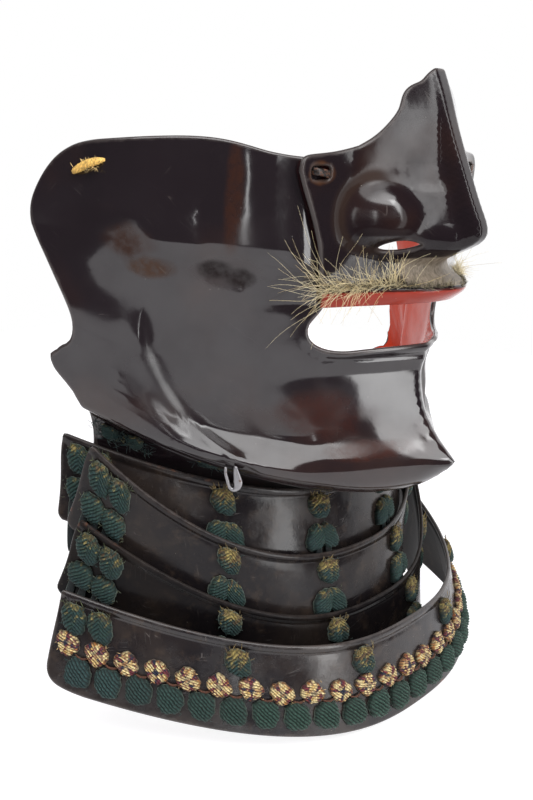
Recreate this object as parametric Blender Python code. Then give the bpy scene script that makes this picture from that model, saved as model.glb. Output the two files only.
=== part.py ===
"""Samurai face guard: a half mask with a removable nose piece and a laced throat guard.

Lengths are millimetres until a mesh is written, and x = 0 is the plane of symmetry. The face looks
along -Y and Z is up. Shapes are measured from the tip of the chin, and SEAT is the place inside the
chin plate, where the wearer's chin rests, that becomes the origin.

Every wall is a loft: a few rows cross the face from side to side, and a smooth curve joins them from
one level to the next. A place on a wall is (a, b): a is the distance round the row from the middle,
positive to +X, and b is the level.
"""

from collections import namedtuple

import bmesh
import bpy
import numpy as np
from mathutils.geometry import delaunay_2d_cdt

MM = 0.001
SEAT = np.array([0.0, 14.0, 14.0])
GAP = 0.4  # clearance between pieces that touch on the real object
PLATE = 1.8  # lacquered iron of the mask and the nose piece
LAME = 1.5  # lacquered iron of a throat lame
SIDE_NAMES = {1: "left", -1: "right"}  # the wearer's own

# A row is y = front_y + sweep * u**bend, z = front_z + rise * u**lift, with u = |x| / half.
# A bend of 1 is a plain V, and a high bend is a flat front with a tight corner and straight sides.
Row = namedtuple("Row", "name level front_y front_z half sweep bend rise lift")
FACE_ROWS = (
    Row("crest", 0, 1.5, 0.0, 93.0, 89.5, 1.42, 37, 4.2),
    Row("chin root", 7, 10.0, 7.5, 92.5, 81, 1.42, 33, 4.2),
    Row("chin hollow", 18, 15.5, 19.0, 91.5, 75, 1.42, 27, 4.2),
    Row("lower lip", 38, 13.5, 37.0, 90.5, 75, 1.45, 19, 4.0),
    Row("mouth", 50, 14.0, 48.0, 90.0, 74, 1.60, 14, 4.0),
    Row("cheek ridge", 74, 22.8, 73.0, 89.0, 69.5, 3.20, 6, 3.0),
    Row("upper band", 90, 24.5, 90.0, 87.5, 77.5, 4.60, 2, 2.0),
    Row("top edge", 108, 25.0, 108.0, 87.0, 77.5, 4.80, 0, 2.0),
)
THROAT_ROWS = (
    Row("neck edge", -53, 48.0, -26.0, 75.5, 44, 1.80, 29, 2.2),
    Row("neck", -43, 45.3, -14.5, 78.0, 45, 1.80, 29, 2.2),
    Row("under chin", -18, 18.0, -12.7, 88.0, 70, 1.50, 34, 2.2),
    FACE_ROWS[0],
)
LAME_ROWS = (
    (
        Row("lame 1 foot", 0, 37.5, -42.0, 88.0, 60, 2.25, 22.0, 2.3),
        Row("lame 1 rim", 30, 41.5, -14.5, 83.5, 58, 2.25, 24.0, 2.3),
    ),
    (
        Row("lame 2 foot", 0, 31.0, -64.0, 89.0, 60, 2.10, 43.0, 2.9),
        Row("lame 2 rim", 30, 34.5, -36.5, 86.5, 46, 2.00, 46.0, 3.0),
    ),
    (
        Row("lame 3 foot", 0, 24.0, -84.0, 90.5, 73.3, 2.30, 38.0, 2.8),
        Row("lame 3 rim", 30, 28.5, -56.5, 90.0, 55, 2.30, 41.0, 2.9),
    ),
    (
        Row("lame 4 foot", 0, 9.0, -92.0, 102.0, 78, 2.60, 19.0, 2.2),
        Row("lame 4 rim", 33, 15.5, -61.0, 93.5, 75.2, 2.60, 20.0, 2.8),
    ),
)
# The rear edge of each lame from its rim down, as a share of the way round and a level.
LAME_REARS = (
    ((0.985, 30), (0.998, 28.5), (1.006, 4), (0.985, 0)),
    ((0.985, 30), (0.998, 28.5), (1.013, 4), (0.99, 0)),
    ((0.985, 30), (1.0, 28.5), (1.01, 4), (0.985, 0)),
    ((0.985, 33), (1.0, 31.5), (1.012, 21), (1.024, 9), (1.023, 5), (1.01, 2.8), (0.975, 0.8), (0.92, 0)),
)

# A row of the nose piece is y = front_y + sweep * tanh(|x| / width) at the height front_z.
# A row of the nose piece is y = front_y + sweep * tanh(|x| / width) at the height front_z. Its front is
# rounded off over soft.
NoseRow = namedtuple("NoseRow", "name level front_y front_z sweep width soft")
NOSE_ROWS = (
    NoseRow("lip edge", 45.0, 7.5, 52.3, 51.0, 60.0, 16.0),
    NoseRow("lip roll", 53.0, 1.0, 58.1, 52.0, 50.0, 14.0),
    NoseRow("lip root", 60.0, 8.0, 62.0, 30.0, 45.0, 8.0),
    NoseRow("philtrum", 62.5, 8.6, 64.5, 24.5, 38.0, 6.0),
    NoseRow("nose floor", 66.0, 5.0, 67.3, 24.8, 30.0, 4.0),
    NoseRow("nose tip", 76.0, -7.0, 74.5, 34.0, 24.0, 2.0),
    NoseRow("wing", 83.0, -5.2, 82.0, 31.7, 24.0, 1.8),
    NoseRow("staple", 95.0, -0.2, 94.0, 28.7, 32.0, 1.8),
    NoseRow("eye edge", 106.0, 4.3, 105.5, 30.0, 50.0, 1.8),
    NoseRow("bridge", 126.0, 10.3, 125.5, 31.0, 60.0, 1.8),
)

# Corners of the outlines of one half, as places (a, b). A smooth curve joins the places of a group.
MOUTH_EDGE = ((0, 40.2), (12, 39.7), (24, 39.1), (31, 38.7), (37, 39.8), (41, 43), (41.8, 47), (38.5, 52), (35, 57))
CHEEK_FRONT = ((35, 57), (31.5, 65), (31, 80), (31, 98))
CHEEK_TOP = ((31, 98), (47, 98.3), (56, 99.9), (65, 102.3), (71, 103.5), (90, 104.2), (105, 103.4))
EAR_LOBE = ((105, 103.4), (116, 102.2), (125, 98.2), (130.3, 91.5), (131.8, 82), (129, 72))
EAR_NOTCH = ((129, 72), (123.5, 57), (119, 40), (117.2, 31.5), (118, 24.5), (121.5, 18.5), (128, 10.5), (131.4, 4.5))
NECK_REAR = ((131.4, 4.5), (131, -0.5), (125.3, -6), (119, -15), (106, -33), (99, -42.5), (97, -47), (96.5, -53))
NOSE_TOP = ((0, 125.3), (3, 124.9), (7.7, 121.3), (11.5, 118.6), (15.2, 114.3), (18.8, 109.8), (22.5, 106), (29, 102.4))
NOSE_BROW = ((29, 102.4), (36, 100.9), (43.5, 100.2), (47.5, 99.1), (48.9, 95.5))
NOSE_REAR = ((48.9, 95.5), (47.2, 90), (43.6, 81), (40.8, 72.5), (39.2, 64), (37.9, 53), (37.4, 45.5))
NOSTRIL = (17.2, 71.6, 5.0, 2.4)  # centre a, centre b, half width, half height
SLOT = (41.5, 94.8, 3.2, 1.9)  # the staple's slot in each wing, given in the same way

# The jaw ridge leaves the crest of the chin and curls up behind the cheek.
JAW_RIDGE = ((66, -2), (73.3, 0.3), (80, 3), (87, 7.6), (93.4, 12.9), (98, 19), (100.5, 28), (101.3, 38), (100.5, 47), (97, 60))

# Lacing columns of one half: a share of the way round lame 1, its drift on each lame below, and a place
# (a, b) on the neck flange.
Column = namedtuple("Column", "name share drift neck_a neck_b")
COLUMNS = (
    Column("front", 0.165, 0.009, 19, -35.5),
    Column("middle", 0.490, 0.014, 55.5, -39.5),
    Column("rear_a", 0.868, 0.006, 82, -44.0),
    Column("rear_b", 0.940, 0.006, 91, -45.0),
)
UPPER_KNOT = 0.25  # share of a lame's height, from its rim, at which the upper knots sit
LOWER_KNOT = 0.60
HEM_COUNT = 26
HEM_REACH = 1.008  # share of the way round at which the hem braid ends
ROSETTE_LEVEL = 16.0
BRAID_LEVEL = 7.6


def clear_scene():
    for obj in list(bpy.data.objects):
        bpy.data.objects.remove(obj, do_unlink=True)


def material(name, colour, roughness, metallic=0.0):
    made = bpy.data.materials.new(name)
    made.use_nodes = True
    shader = made.node_tree.nodes["Principled BSDF"]
    shader.inputs["Base Color"].default_value = (*colour, 1.0)
    shader.inputs["Roughness"].default_value = roughness
    shader.inputs["Metallic"].default_value = metallic
    return made


# ---------------------------------------------------------------- curves and lofts


def row_length(row, u=1.0):
    """The distance round a row from the middle to x = u * half."""
    x = np.linspace(0, u * row.half, 600)
    return float(polyline_length(row_line(row, x))[-1])


def row_line(row, x):
    u = x / row.half
    return np.stack([x, row.front_y + row.sweep * u**row.bend, row.front_z + row.rise * u**row.lift], -1)


def polyline_length(line):
    return np.r_[0, np.cumsum(np.linalg.norm(np.diff(line, axis=0), axis=1))]


def row_points(row, a):
    """Points of a row at the distances a round it from the middle."""
    line = row_line(row, np.linspace(0, 1.3 * row.half, 600))
    along = polyline_length(line)
    points = np.stack([np.interp(np.abs(a), along, line[:, i]) for i in range(3)], -1)
    points[:, 0] *= np.where(a < 0, -1, 1)
    return points


def nose_row_points(row, x):
    """Points of a row of the nose piece, which is level: its a is simply x."""
    side = np.sqrt(x**2 + row.soft**2) - row.soft
    y = row.front_y + row.sweep * np.tanh(side / row.width)
    return np.stack([x, y, np.full_like(x, row.front_z)], -1)


def spline(t, knots, values):
    """A natural cubic spline through values[i] at knots[i], read at t, one value for each t."""
    knots = np.asarray(knots, float)
    values = np.asarray(values, float)
    count = len(knots)
    step = np.diff(knots)
    left = np.eye(count)
    right = np.zeros((count, count))
    for i in range(1, count - 1):
        left[i, i - 1 : i + 2] = step[i - 1], 2 * (step[i - 1] + step[i]), step[i]
        right[i, i - 1 : i + 2] = 6 / step[i - 1], -6 / step[i - 1] - 6 / step[i], 6 / step[i]
    second = np.tensordot(np.linalg.solve(left, right), values, (1, 0))
    i = np.clip(np.searchsorted(knots, t) - 1, 0, count - 2)
    each = np.arange(len(t))
    down = ((knots[i + 1] - t) / step[i])[:, None]
    up = 1 - down
    curve = (down**3 - down) * second[i, each] + (up**3 - up) * second[i + 1, each]
    return down * values[i, each] + up * values[i + 1, each] + curve * (step[i] ** 2 / 6)[:, None]


def smooth_curve(points, spacing):
    """Places along a smooth curve through points, about spacing apart, both ends included."""
    points = np.asarray(points, float)
    along = polyline_length(points)
    count = max(2, round(along[-1] / spacing) + 1)
    t = np.linspace(0, along[-1], count)
    return spline(t, along, np.repeat(points[:, None, :], count, axis=1))


def face_wall(a, b):
    """The outer surface of the mask's plate, without its jaw ridge.

    The crest of the chin is sharp in front and softens away behind the jaw, where the plate is plain.
    """
    reach = 1.5 + 26 * np.clip((np.abs(a) - 70) / 40, 0, 1) ** 1.5
    reach = reach * np.exp(-((b / 32) ** 2))
    total = np.zeros((len(a), 3))
    weights = 0
    for part in np.linspace(-1, 1, 7):
        level = b + reach * part
        upper = spline(level, [r.level for r in FACE_ROWS], [row_points(r, a) for r in FACE_ROWS])
        lower = spline(level, [r.level for r in THROAT_ROWS], [row_points(r, a) for r in THROAT_ROWS])
        weight = 1 - 0.75 * abs(part)
        total += weight * np.where((level >= 0)[:, None], upper, lower)
        weights += weight
    return total / weights


def nose_wall(a, b):
    """The outer surface of the nose piece, with the bulges of its nostrils."""
    points = spline(b, [r.level for r in NOSE_ROWS], [nose_row_points(r, a) for r in NOSE_ROWS])
    from_bulge = ((np.abs(a) - 22.5) / 8.5) ** 2 + ((b - 82) / 8) ** 2
    points[:, 1] -= 6.5 * np.exp(-(from_bulge**1.3))
    return points


def lame_wall(number):
    """The outer surface of a throat lame. Here a is a share of the way round, from -1 to 1."""
    foot, rim = LAME_ROWS[number - 1]

    def wall(a, b):
        up = (b / rim.level)[:, None]
        low = row_points(foot, a * row_length(foot))
        high = row_points(rim, a * row_length(rim))
        return low + (high - low) * up

    return wall


def normals(wall, a, b, step_a, step_b):
    """Outward unit normals of a wall, from the slope between near places on it."""
    across = wall(a + step_a, b) - wall(a - step_a, b)
    upward = wall(a, b + step_b) - wall(a, b - step_b)
    out = np.cross(across, upward)
    return out / np.linalg.norm(out, axis=1)[:, None]


def distance_to_curve(points, line):
    """For each point in the plane, its distance to a polyline, its side, and its share along it."""
    start = line[:-1]
    leg = np.diff(line, axis=0)
    share = ((points[:, None] - start) * leg).sum(-1) / (leg**2).sum(-1)
    share = np.clip(share, 0, 1)
    gap = points[:, None] - (start + share[..., None] * leg)
    far = np.linalg.norm(gap, axis=-1)
    near = far.argmin(axis=1)
    each = np.arange(len(points))
    side = np.sign(gap[each, near, 0] * leg[near, 1] - gap[each, near, 1] * leg[near, 0])
    along = (near + share[each, near]) / len(leg)
    return far[each, near], side, along


def jaw_relief(a, b):
    """How far the jaw ridge stands out of the plate, with the hollows on both sides of it."""
    far, side, along = distance_to_curve(np.stack([np.abs(a), b], -1), smooth_curve(JAW_RIDGE, 2))
    behind = far * side
    strength = np.clip(along / 0.25, 0, 1) * np.clip((1 - along) / 0.45, 0, 1)
    ridge = 2.4 * np.exp(-((behind / 2.2) ** 2))
    hollows = np.exp(-(((behind + 7) / 4) ** 2)) + 1.6 * np.exp(-(((behind - 5) / 4.5) ** 2))
    return strength * (ridge - hollows)


def mask_wall(a, b):
    return face_wall(a, b) + jaw_relief(a, b)[:, None] * normals(face_wall, a, b, 1.0, 1.0)


# ---------------------------------------------------------------- solids


def as_object(name, points, faces, finish):
    """A mesh object from points in millimetres. Faces may be any polygons."""
    mesh = bpy.data.meshes.new(name)
    mesh.from_pydata([tuple((p - SEAT) * MM) for p in np.asarray(points, float)], [], faces)
    mesh.materials.append(finish)
    body = bmesh.new()
    body.from_mesh(mesh)
    bmesh.ops.recalc_face_normals(body, faces=body.faces)
    body.to_mesh(mesh)
    body.free()
    mesh.shade_smooth()
    mesh.set_sharp_from_angle(angle=0.6)
    obj = bpy.data.objects.new(name, mesh)
    bpy.context.scene.collection.objects.link(obj)
    return obj


def inside(points, loop):
    """Which points lie inside a closed polygon."""
    x, y = points[:, 0][:, None], points[:, 1][:, None]
    ax, ay = loop[:, 0], loop[:, 1]
    bx, by = np.roll(ax, -1), np.roll(ay, -1)
    crosses = (ay > y) != (by > y)
    with np.errstate(divide="ignore", invalid="ignore"):
        reach = ax + (y - ay) * (bx - ax) / (by - ay)
    return (crosses & (x < reach)).sum(axis=1) % 2 == 1


def both_halves(half):
    """A closed loop from the outline of the half a >= 0, which starts and ends on the middle."""
    mirrored = (half * [-1, 1])[::-1]
    return np.concatenate([half, mirrored[1:-1]])


def filled(loops, spacing, guides=()):
    """Places and triangles that fill the first loop, less the others, with points on the guides."""
    outer = loops[0]
    low, high = outer.min(axis=0), outer.max(axis=0)
    columns = np.arange(np.floor(low[0] / spacing), np.ceil(high[0] / spacing) + 1)
    rows = np.arange(np.floor(low[1] / (0.87 * spacing)), np.ceil(high[1] / (0.87 * spacing)) + 1)
    grid = np.array([((c + 0.5 * (r % 2)) * spacing, r * 0.87 * spacing) for r in rows for c in columns])
    kept = inside(grid, outer)
    for hole in loops[1:]:
        kept &= ~inside(grid, hole)
    fixed = [np.concatenate([loop, loop[:1]]) for loop in loops] + [g for g in guides if len(g) > 1]
    for line in fixed:
        kept &= distance_to_curve(grid, line)[0] > 0.55 * spacing
    places = np.concatenate([*loops, *guides, grid[kept]])
    edges = []
    first = 0
    for loop in loops:
        count = len(loop)
        edges += [(first + i, first + (i + 1) % count) for i in range(count)]
        first += count
    made = delaunay_2d_cdt([tuple(p) for p in places], edges, [], 0, 1e-6)
    places = np.array([tuple(p) for p in made[0]])
    triangles = np.array(made[2])
    middle = places[triangles].mean(axis=1)
    good = inside(middle, outer)
    for hole in loops[1:]:
        good &= ~inside(middle, hole)
    return places, triangles[good]


def plate(name, wall, loops, spacing, thickness, finish, scale=1.0, guides=()):
    """A closed solid: the wall inside the loops, thickened inwards. scale turns a into the wall's own a."""
    places, triangles = filled(loops, spacing, guides)
    a, b = places[:, 0] * scale, places[:, 1]
    outer = wall(a, b)
    inner = outer - thickness * normals(wall, a, b, 2.5 * scale, 2.5)
    count = len(places)
    sides = {}
    for tri in triangles:
        for start, end in zip(tri, np.roll(tri, -1)):
            sides[(int(start), int(end))] = True
    faces = [tuple(int(i) for i in tri) for tri in triangles]
    faces += [tuple(int(i) + count for i in tri[::-1]) for tri in triangles]
    rims = [(s, e) for s, e in sides if (e, s) not in sides]
    faces += [(e, s, s + count, e + count) for s, e in rims]
    return as_object(name, np.concatenate([outer, inner]), faces, finish)


def ellipse(centre_a, centre_b, half_a, half_b, count):
    """A hole's outline, clockwise or not, as places."""
    turn = np.linspace(0, 2 * np.pi, count, endpoint=False)
    return np.stack([centre_a + half_a * np.cos(turn), centre_b + half_b * np.sin(turn)], -1)


def swept(name, points, outs, halves, heights, finish, sides=6):
    """A closed strip along points: at each one, half its width and its height along the direction out."""
    points, outs = np.asarray(points, float), np.asarray(outs, float)
    ahead = np.gradient(points, axis=0)
    ahead /= np.linalg.norm(ahead, axis=1)[:, None]
    across = np.cross(ahead, outs)
    across /= np.linalg.norm(across, axis=1)[:, None]
    turn = np.linspace(0, 2 * np.pi, sides, endpoint=False)
    verts = []
    for p, out, side, half, height in zip(points, outs, across, halves, heights):
        for angle in turn:
            lift = height / 2 * (1 + np.sin(angle))
            verts.append(p + side * half * np.cos(angle) + out * lift)
    faces = []
    for i in range(len(points) - 1):
        for k in range(sides):
            n = (k + 1) % sides
            faces.append((i * sides + k, i * sides + n, (i + 1) * sides + n, (i + 1) * sides + k))
    faces.append(tuple(range(sides))[::-1])
    faces.append(tuple((len(points) - 1) * sides + k for k in range(sides)))
    return as_object(name, verts, faces, finish)


def on_wall(wall, a, b, scale_step=1.0):
    """Points just clear of a wall's outer surface, and the directions out of it there."""
    a, b = np.asarray(a, float), np.asarray(b, float)
    out = normals(wall, a, b, 1.0 * scale_step, 1.0)
    return wall(a, b) + GAP * out, out


# ---------------------------------------------------------------- the pieces


def mask_body(finish):
    spacing = 8.0
    groups = (MOUTH_EDGE, CHEEK_FRONT, CHEEK_TOP, EAR_LOBE, EAR_NOTCH, NECK_REAR)
    half = [smooth_curve(group, spacing * 0.8)[:-1] for group in groups]
    foot = np.stack([np.linspace(96.5, 0, 14), np.full(14, -53.0)], -1)
    loop = both_halves(np.concatenate([*half, foot]))
    ridge = smooth_curve(JAW_RIDGE, spacing * 0.8)[1:-1]
    ahead = np.gradient(ridge, axis=0)
    beside = np.stack([ahead[:, 1], -ahead[:, 0]], -1) / np.linalg.norm(ahead, axis=1)[:, None]
    crest = np.stack([np.arange(0, 60, 6.0), np.zeros(10)], -1)
    right = [ridge, ridge + 5 * beside, ridge[:-2] - 6 * beside[:-2], crest[1:]]
    guides = [*right, *(line * [-1, 1] for line in right), crest[:1]]
    return plate("mask_body", mask_wall, [loop], spacing, PLATE, finish, guides=guides)


def nose_piece(finish):
    spacing = 5.0
    half = [smooth_curve(group, spacing * 0.9)[:-1] for group in (NOSE_TOP, NOSE_BROW, NOSE_REAR)]
    foot = np.stack([np.linspace(37.4, 0, 10), np.full(10, 45.5)], -1)
    loop = both_halves(np.concatenate([*half, foot]))
    holes = []
    for side in (1, -1):
        for a, b, wide, high in (NOSTRIL, SLOT):
            holes.append(ellipse(side * a, b, wide, high, 8))
    ridge = np.stack([np.full(16, 2.0), np.linspace(76, 121, 16)], -1)
    guides = [ridge, ridge * [-1, 1]]
    return plate("nose_piece", nose_wall, [loop, *holes], spacing, PLATE, finish, guides=guides)


def throat_lame(number, finish):
    foot, rim = LAME_ROWS[number - 1]
    reach = (row_length(foot) + row_length(rim)) / 2
    rear = np.array(LAME_REARS[number - 1]) * [reach, 1]
    count = 17
    top = np.stack([np.linspace(0, rear[0, 0], count), np.full(count, rim.level)], -1)[:-1]
    low = np.stack([np.linspace(rear[-1, 0], 0, count), np.zeros(count)], -1)[1:]
    loop = both_halves(np.concatenate([top, rear, low]))
    return plate(f"throat_lame_{number}", lame_wall(number), [loop], 9.0, LAME, finish, scale=1 / reach)


def lacing(number, column, side, finish):
    """The braid of one column on one lame: its upper knot and, above the next lame, its lower one."""
    height = LAME_ROWS[number - 1][1].level
    rear = column.name.startswith("rear")
    upper = height * (1 - UPPER_KNOT)
    lower = height * (1 - LOWER_KNOT)
    levels = [upper + 4.6, upper + 2.4, upper - 2.4, upper - 4.6]
    halves, heights = [1.2, 3.1, 3.1, 1.2], [0.9, 2.6, 2.6, 0.9]
    if number < 4:
        wide, thick = (3.4, 1.9) if rear else (5.2, 2.6)
        levels += [lower + 4.2, lower + 2.2, lower - 1.8, lower - 3.6]
        halves += [1.4, wide, wide, 2.0]
        heights += [0.9, thick, thick, 0.9]
    share = side * (column.share + column.drift * (number - 1))
    points, outs = on_wall(lame_wall(number), np.full(len(levels), share), levels, 0.01)
    return swept(f"lacing_{number}_{column.name}_{SIDE_NAMES[side]}", points, outs, halves, heights, finish, 5)


def neck_lacing(column, side, finish):
    """The short braid on the mask's neck flange, just above the rim of the first lame."""
    levels = column.neck_b + np.array([3.4, 1.6, -1.6, -3.4])
    points, outs = on_wall(mask_wall, np.full(4, side * column.neck_a), levels)
    name = f"lacing_0_{column.name}_{SIDE_NAMES[side]}"
    return swept(name, points + 0.5 * outs, outs, [1.2, 2.8, 2.8, 1.2], [0.7, 1.2, 1.2, 0.7], finish, 5)


def hem_row(name, level, half, height, finish):
    """A row of braid lumps right round the lowest lame, joined along their thread."""
    pitch = 2 * HEM_REACH / HEM_COUNT
    a, halves, heights = [], [], []
    for i in range(HEM_COUNT):
        middle = -HEM_REACH + (i + 0.5) * pitch
        a += [middle - 0.5 * pitch, middle - 0.28 * pitch, middle + 0.28 * pitch]
        halves += [0.45 * half, half, half]
        heights += [0.5 * height, height, height]
    a.append(HEM_REACH)
    halves.append(0.45 * half)
    heights.append(0.5 * height)
    points, outs = on_wall(lame_wall(4), a, np.full(len(a), level), 0.01)
    return swept(name, points, outs, halves, heights, finish, 5)


def moustache(side, finish):
    """The outer form of one tuft of bristles, rooted along the top of the lip."""
    a = side * np.array([4.0, 10.0, 17.0, 25.0, 33.0, 40.0])
    b = np.array([57.5, 58.0, 58.7, 60.0, 62.0, 65.0])
    halves = np.array([0.8, 1.8, 3.6, 5.0, 4.4, 1.2])
    heights = np.array([1.0, 2.6, 5.5, 8.0, 7.5, 2.0])
    points, outs = on_wall(nose_wall, a, b)
    return swept(f"moustache_{SIDE_NAMES[side]}", points + 0.6 * outs, outs, halves, heights, finish, 8)


def nose_peg(side, finish):
    """The iron staple that stands on the cheek and comes through the wing's slot, with its wider head."""
    middle, out = on_wall(nose_wall, [side * SLOT[0]], [SLOT[1]])
    middle, out = middle[0], out[0]
    across = np.cross([0, 0, 1.0], out)
    across /= np.linalg.norm(across)
    thick = [3.0, 3.0, 4.4, 4.0]
    stem = [middle + out * reach - across * t / 2 for reach, t in zip((-2.9, 0.4, 0.6, 2.2), thick)]
    return swept(f"nose_peg_{SIDE_NAMES[side]}", stem, [across] * 4, [0.9, 0.9, 1.7, 1.4], thick, finish)


def cord_hook(side, finish):
    """A bent wire loop that hangs from under the jaw ridge, in front of the first lame."""
    top, out = on_wall(mask_wall, [side * 70.0], [-7.5])
    top, out = top[0] + 1.0 * out[0] - [0, 0, 4.6], out[0] * [1, 1, 0]
    out /= np.linalg.norm(out)
    across = np.cross([0, 0, 1.0], out)
    turn = np.linspace(-0.6, np.pi + 0.6, 11)
    ring = [top + across * 2.6 * np.cos(t) + [0, 0, 4.6 * np.sin(t)] for t in turn]
    return swept(f"cord_hook_{SIDE_NAMES[side]}", ring, [out] * 11, [0.75] * 11, [1.5] * 11, finish)


def cheek_cord(side, finish):
    """A short stitch of cord between two holes near the top rear corner of the cheek."""
    a = side * np.array([106.5, 109.0, 112.5, 116.0, 118.5])
    b = np.array([96.4, 95.7, 94.5, 93.1, 92.0])
    points, outs = on_wall(mask_wall, a, b)
    name = f"cheek_cord_{SIDE_NAMES[side]}"
    return swept(name, points, outs, [0.9, 1.7, 1.9, 1.7, 0.9], [0.8, 1.6, 1.9, 1.6, 0.8], finish)


def main():
    clear_scene()
    lacquer = material("black_lacquer", (0.018, 0.011, 0.012), 0.12)
    nose_lacquer = material("nose_lacquer", (0.02, 0.012, 0.012), 0.12)
    lame_lacquer = material("lame_lacquer", (0.022, 0.017, 0.016), 0.3)
    bristle = material("bristle", (0.55, 0.47, 0.32), 0.6)
    iron = material("iron", (0.12, 0.11, 0.11), 0.45, 0.9)
    green = material("green_braid", (0.01, 0.05, 0.05), 0.8)
    mixed = material("mixed_braid", (0.35, 0.22, 0.1), 0.8)
    gold = material("gold_cord", (0.55, 0.32, 0.06), 0.6)
    mask_body(lacquer)
    nose_piece(nose_lacquer)
    for number in (1, 2, 3, 4):
        throat_lame(number, lame_lacquer)
    for side in (-1, 1):
        moustache(side, bristle)
        nose_peg(side, iron)
        cord_hook(side, iron)
        cheek_cord(side, gold)
        for column in COLUMNS:
            neck_lacing(column, side, green)
            for number in (1, 2, 3, 4):
                lacing(number, column, side, green)
    hem_row("hem_rosettes", ROSETTE_LEVEL, 3.6, 1.8, mixed)
    hem_row("hem_braid", BRAID_LEVEL, 3.9, 2.8, green)


main()
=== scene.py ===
"""Looks for a samurai face guard: a lacquered half mask with a nose piece and a laced throat guard.

Lengths are millimetres until a mesh is written, and x = 0 is the plane of symmetry. The face looks
along -Y and Z is up. Shapes are measured from the tip of the chin, and SEAT is the model's origin.
Walls are lofts, as in the CAD: a place on a wall is (a, b), where a is the distance round a row from
the middle, positive to +X, and b is the level. Each piece replaces the CAD node that it refines.
"""

from collections import namedtuple

import bpy
import numpy as np
from mathutils import Matrix, Vector
from mathutils.geometry import delaunay_2d_cdt


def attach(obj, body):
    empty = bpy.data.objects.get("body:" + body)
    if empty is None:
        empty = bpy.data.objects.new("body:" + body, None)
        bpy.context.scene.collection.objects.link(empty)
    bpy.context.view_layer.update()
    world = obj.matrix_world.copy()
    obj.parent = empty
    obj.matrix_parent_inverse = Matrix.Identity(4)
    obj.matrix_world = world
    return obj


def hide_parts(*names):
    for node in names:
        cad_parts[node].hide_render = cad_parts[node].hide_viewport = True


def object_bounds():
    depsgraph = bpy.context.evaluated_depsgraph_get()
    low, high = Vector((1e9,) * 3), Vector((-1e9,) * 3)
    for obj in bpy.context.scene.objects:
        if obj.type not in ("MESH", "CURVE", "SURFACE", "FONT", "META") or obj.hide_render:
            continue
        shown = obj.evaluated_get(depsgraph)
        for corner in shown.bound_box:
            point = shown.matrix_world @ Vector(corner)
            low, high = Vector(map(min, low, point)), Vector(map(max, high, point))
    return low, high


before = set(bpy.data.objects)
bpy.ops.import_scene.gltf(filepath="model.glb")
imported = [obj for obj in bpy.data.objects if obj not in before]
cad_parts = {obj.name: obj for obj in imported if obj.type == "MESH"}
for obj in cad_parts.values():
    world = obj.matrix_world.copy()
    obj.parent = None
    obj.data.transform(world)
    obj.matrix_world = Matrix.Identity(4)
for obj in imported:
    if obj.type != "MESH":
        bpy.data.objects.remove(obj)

CAD_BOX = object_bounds()
MM = 0.001
SEAT = np.array([0.0, 14.0, 14.0])
PLATE = 1.8
LAME = 1.5
SIDE_NAMES = {1: "left", -1: "right"}
# A row is y = front_y + sweep * u**bend, z = front_z + rise * u**lift, with u = |x| / half.
# A bend of 1 is a plain V, and a high bend is a flat front with a tight corner and straight sides.
Row = namedtuple("Row", "name level front_y front_z half sweep bend rise lift")
FACE_ROWS = (
    Row("crest", 0, 1.5, 0.0, 93.0, 89.5, 1.42, 37, 4.2),
    Row("chin root", 7, 10.0, 7.5, 92.5, 81, 1.42, 33, 4.2),
    Row("chin hollow", 18, 15.5, 19.0, 91.5, 75, 1.42, 27, 4.2),
    Row("lower lip", 38, 13.5, 37.0, 90.5, 75, 1.45, 19, 4.0),
    Row("mouth", 50, 14.0, 48.0, 90.0, 74, 1.60, 14, 4.0),
    Row("cheek ridge", 74, 22.8, 73.0, 89.0, 69.5, 3.20, 6, 3.0),
    Row("upper band", 90, 24.5, 90.0, 87.5, 77.5, 4.60, 2, 2.0),
    Row("top edge", 108, 25.0, 108.0, 87.0, 77.5, 4.80, 0, 2.0),
)
THROAT_ROWS = (
    Row("neck edge", -53, 48.0, -26.0, 75.5, 44, 1.80, 29, 2.2),
    Row("neck", -43, 45.3, -14.5, 78.0, 45, 1.80, 29, 2.2),
    Row("under chin", -18, 18.0, -12.7, 88.0, 70, 1.50, 34, 2.2),
    FACE_ROWS[0],
)
LAME_ROWS = (
    (
        Row("lame 1 foot", 0, 37.5, -42.0, 88.0, 60, 2.25, 22.0, 2.3),
        Row("lame 1 rim", 30, 41.5, -14.5, 83.5, 58, 2.25, 24.0, 2.3),
    ),
    (
        Row("lame 2 foot", 0, 31.0, -64.0, 89.0, 60, 2.10, 43.0, 2.9),
        Row("lame 2 rim", 30, 34.5, -36.5, 86.5, 46, 2.00, 46.0, 3.0),
    ),
    (
        Row("lame 3 foot", 0, 24.0, -84.0, 90.5, 73.3, 2.30, 38.0, 2.8),
        Row("lame 3 rim", 30, 28.5, -56.5, 90.0, 55, 2.30, 41.0, 2.9),
    ),
    (
        Row("lame 4 foot", 0, 9.0, -92.0, 102.0, 78, 2.60, 19.0, 2.2),
        Row("lame 4 rim", 33, 15.5, -61.0, 93.5, 75.2, 2.60, 20.0, 2.8),
    ),
)
# How the foot of each lame leans inwards on the left: how far, where that starts and is full, and how it ends.
HANG = ((0, 0, 1, 1), (8.0, 0.22, 0.60, 0.35), (3.0, 0.3, 0.6, 0.35), (9.0, 0.60, 0.85, 0.1))
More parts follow.
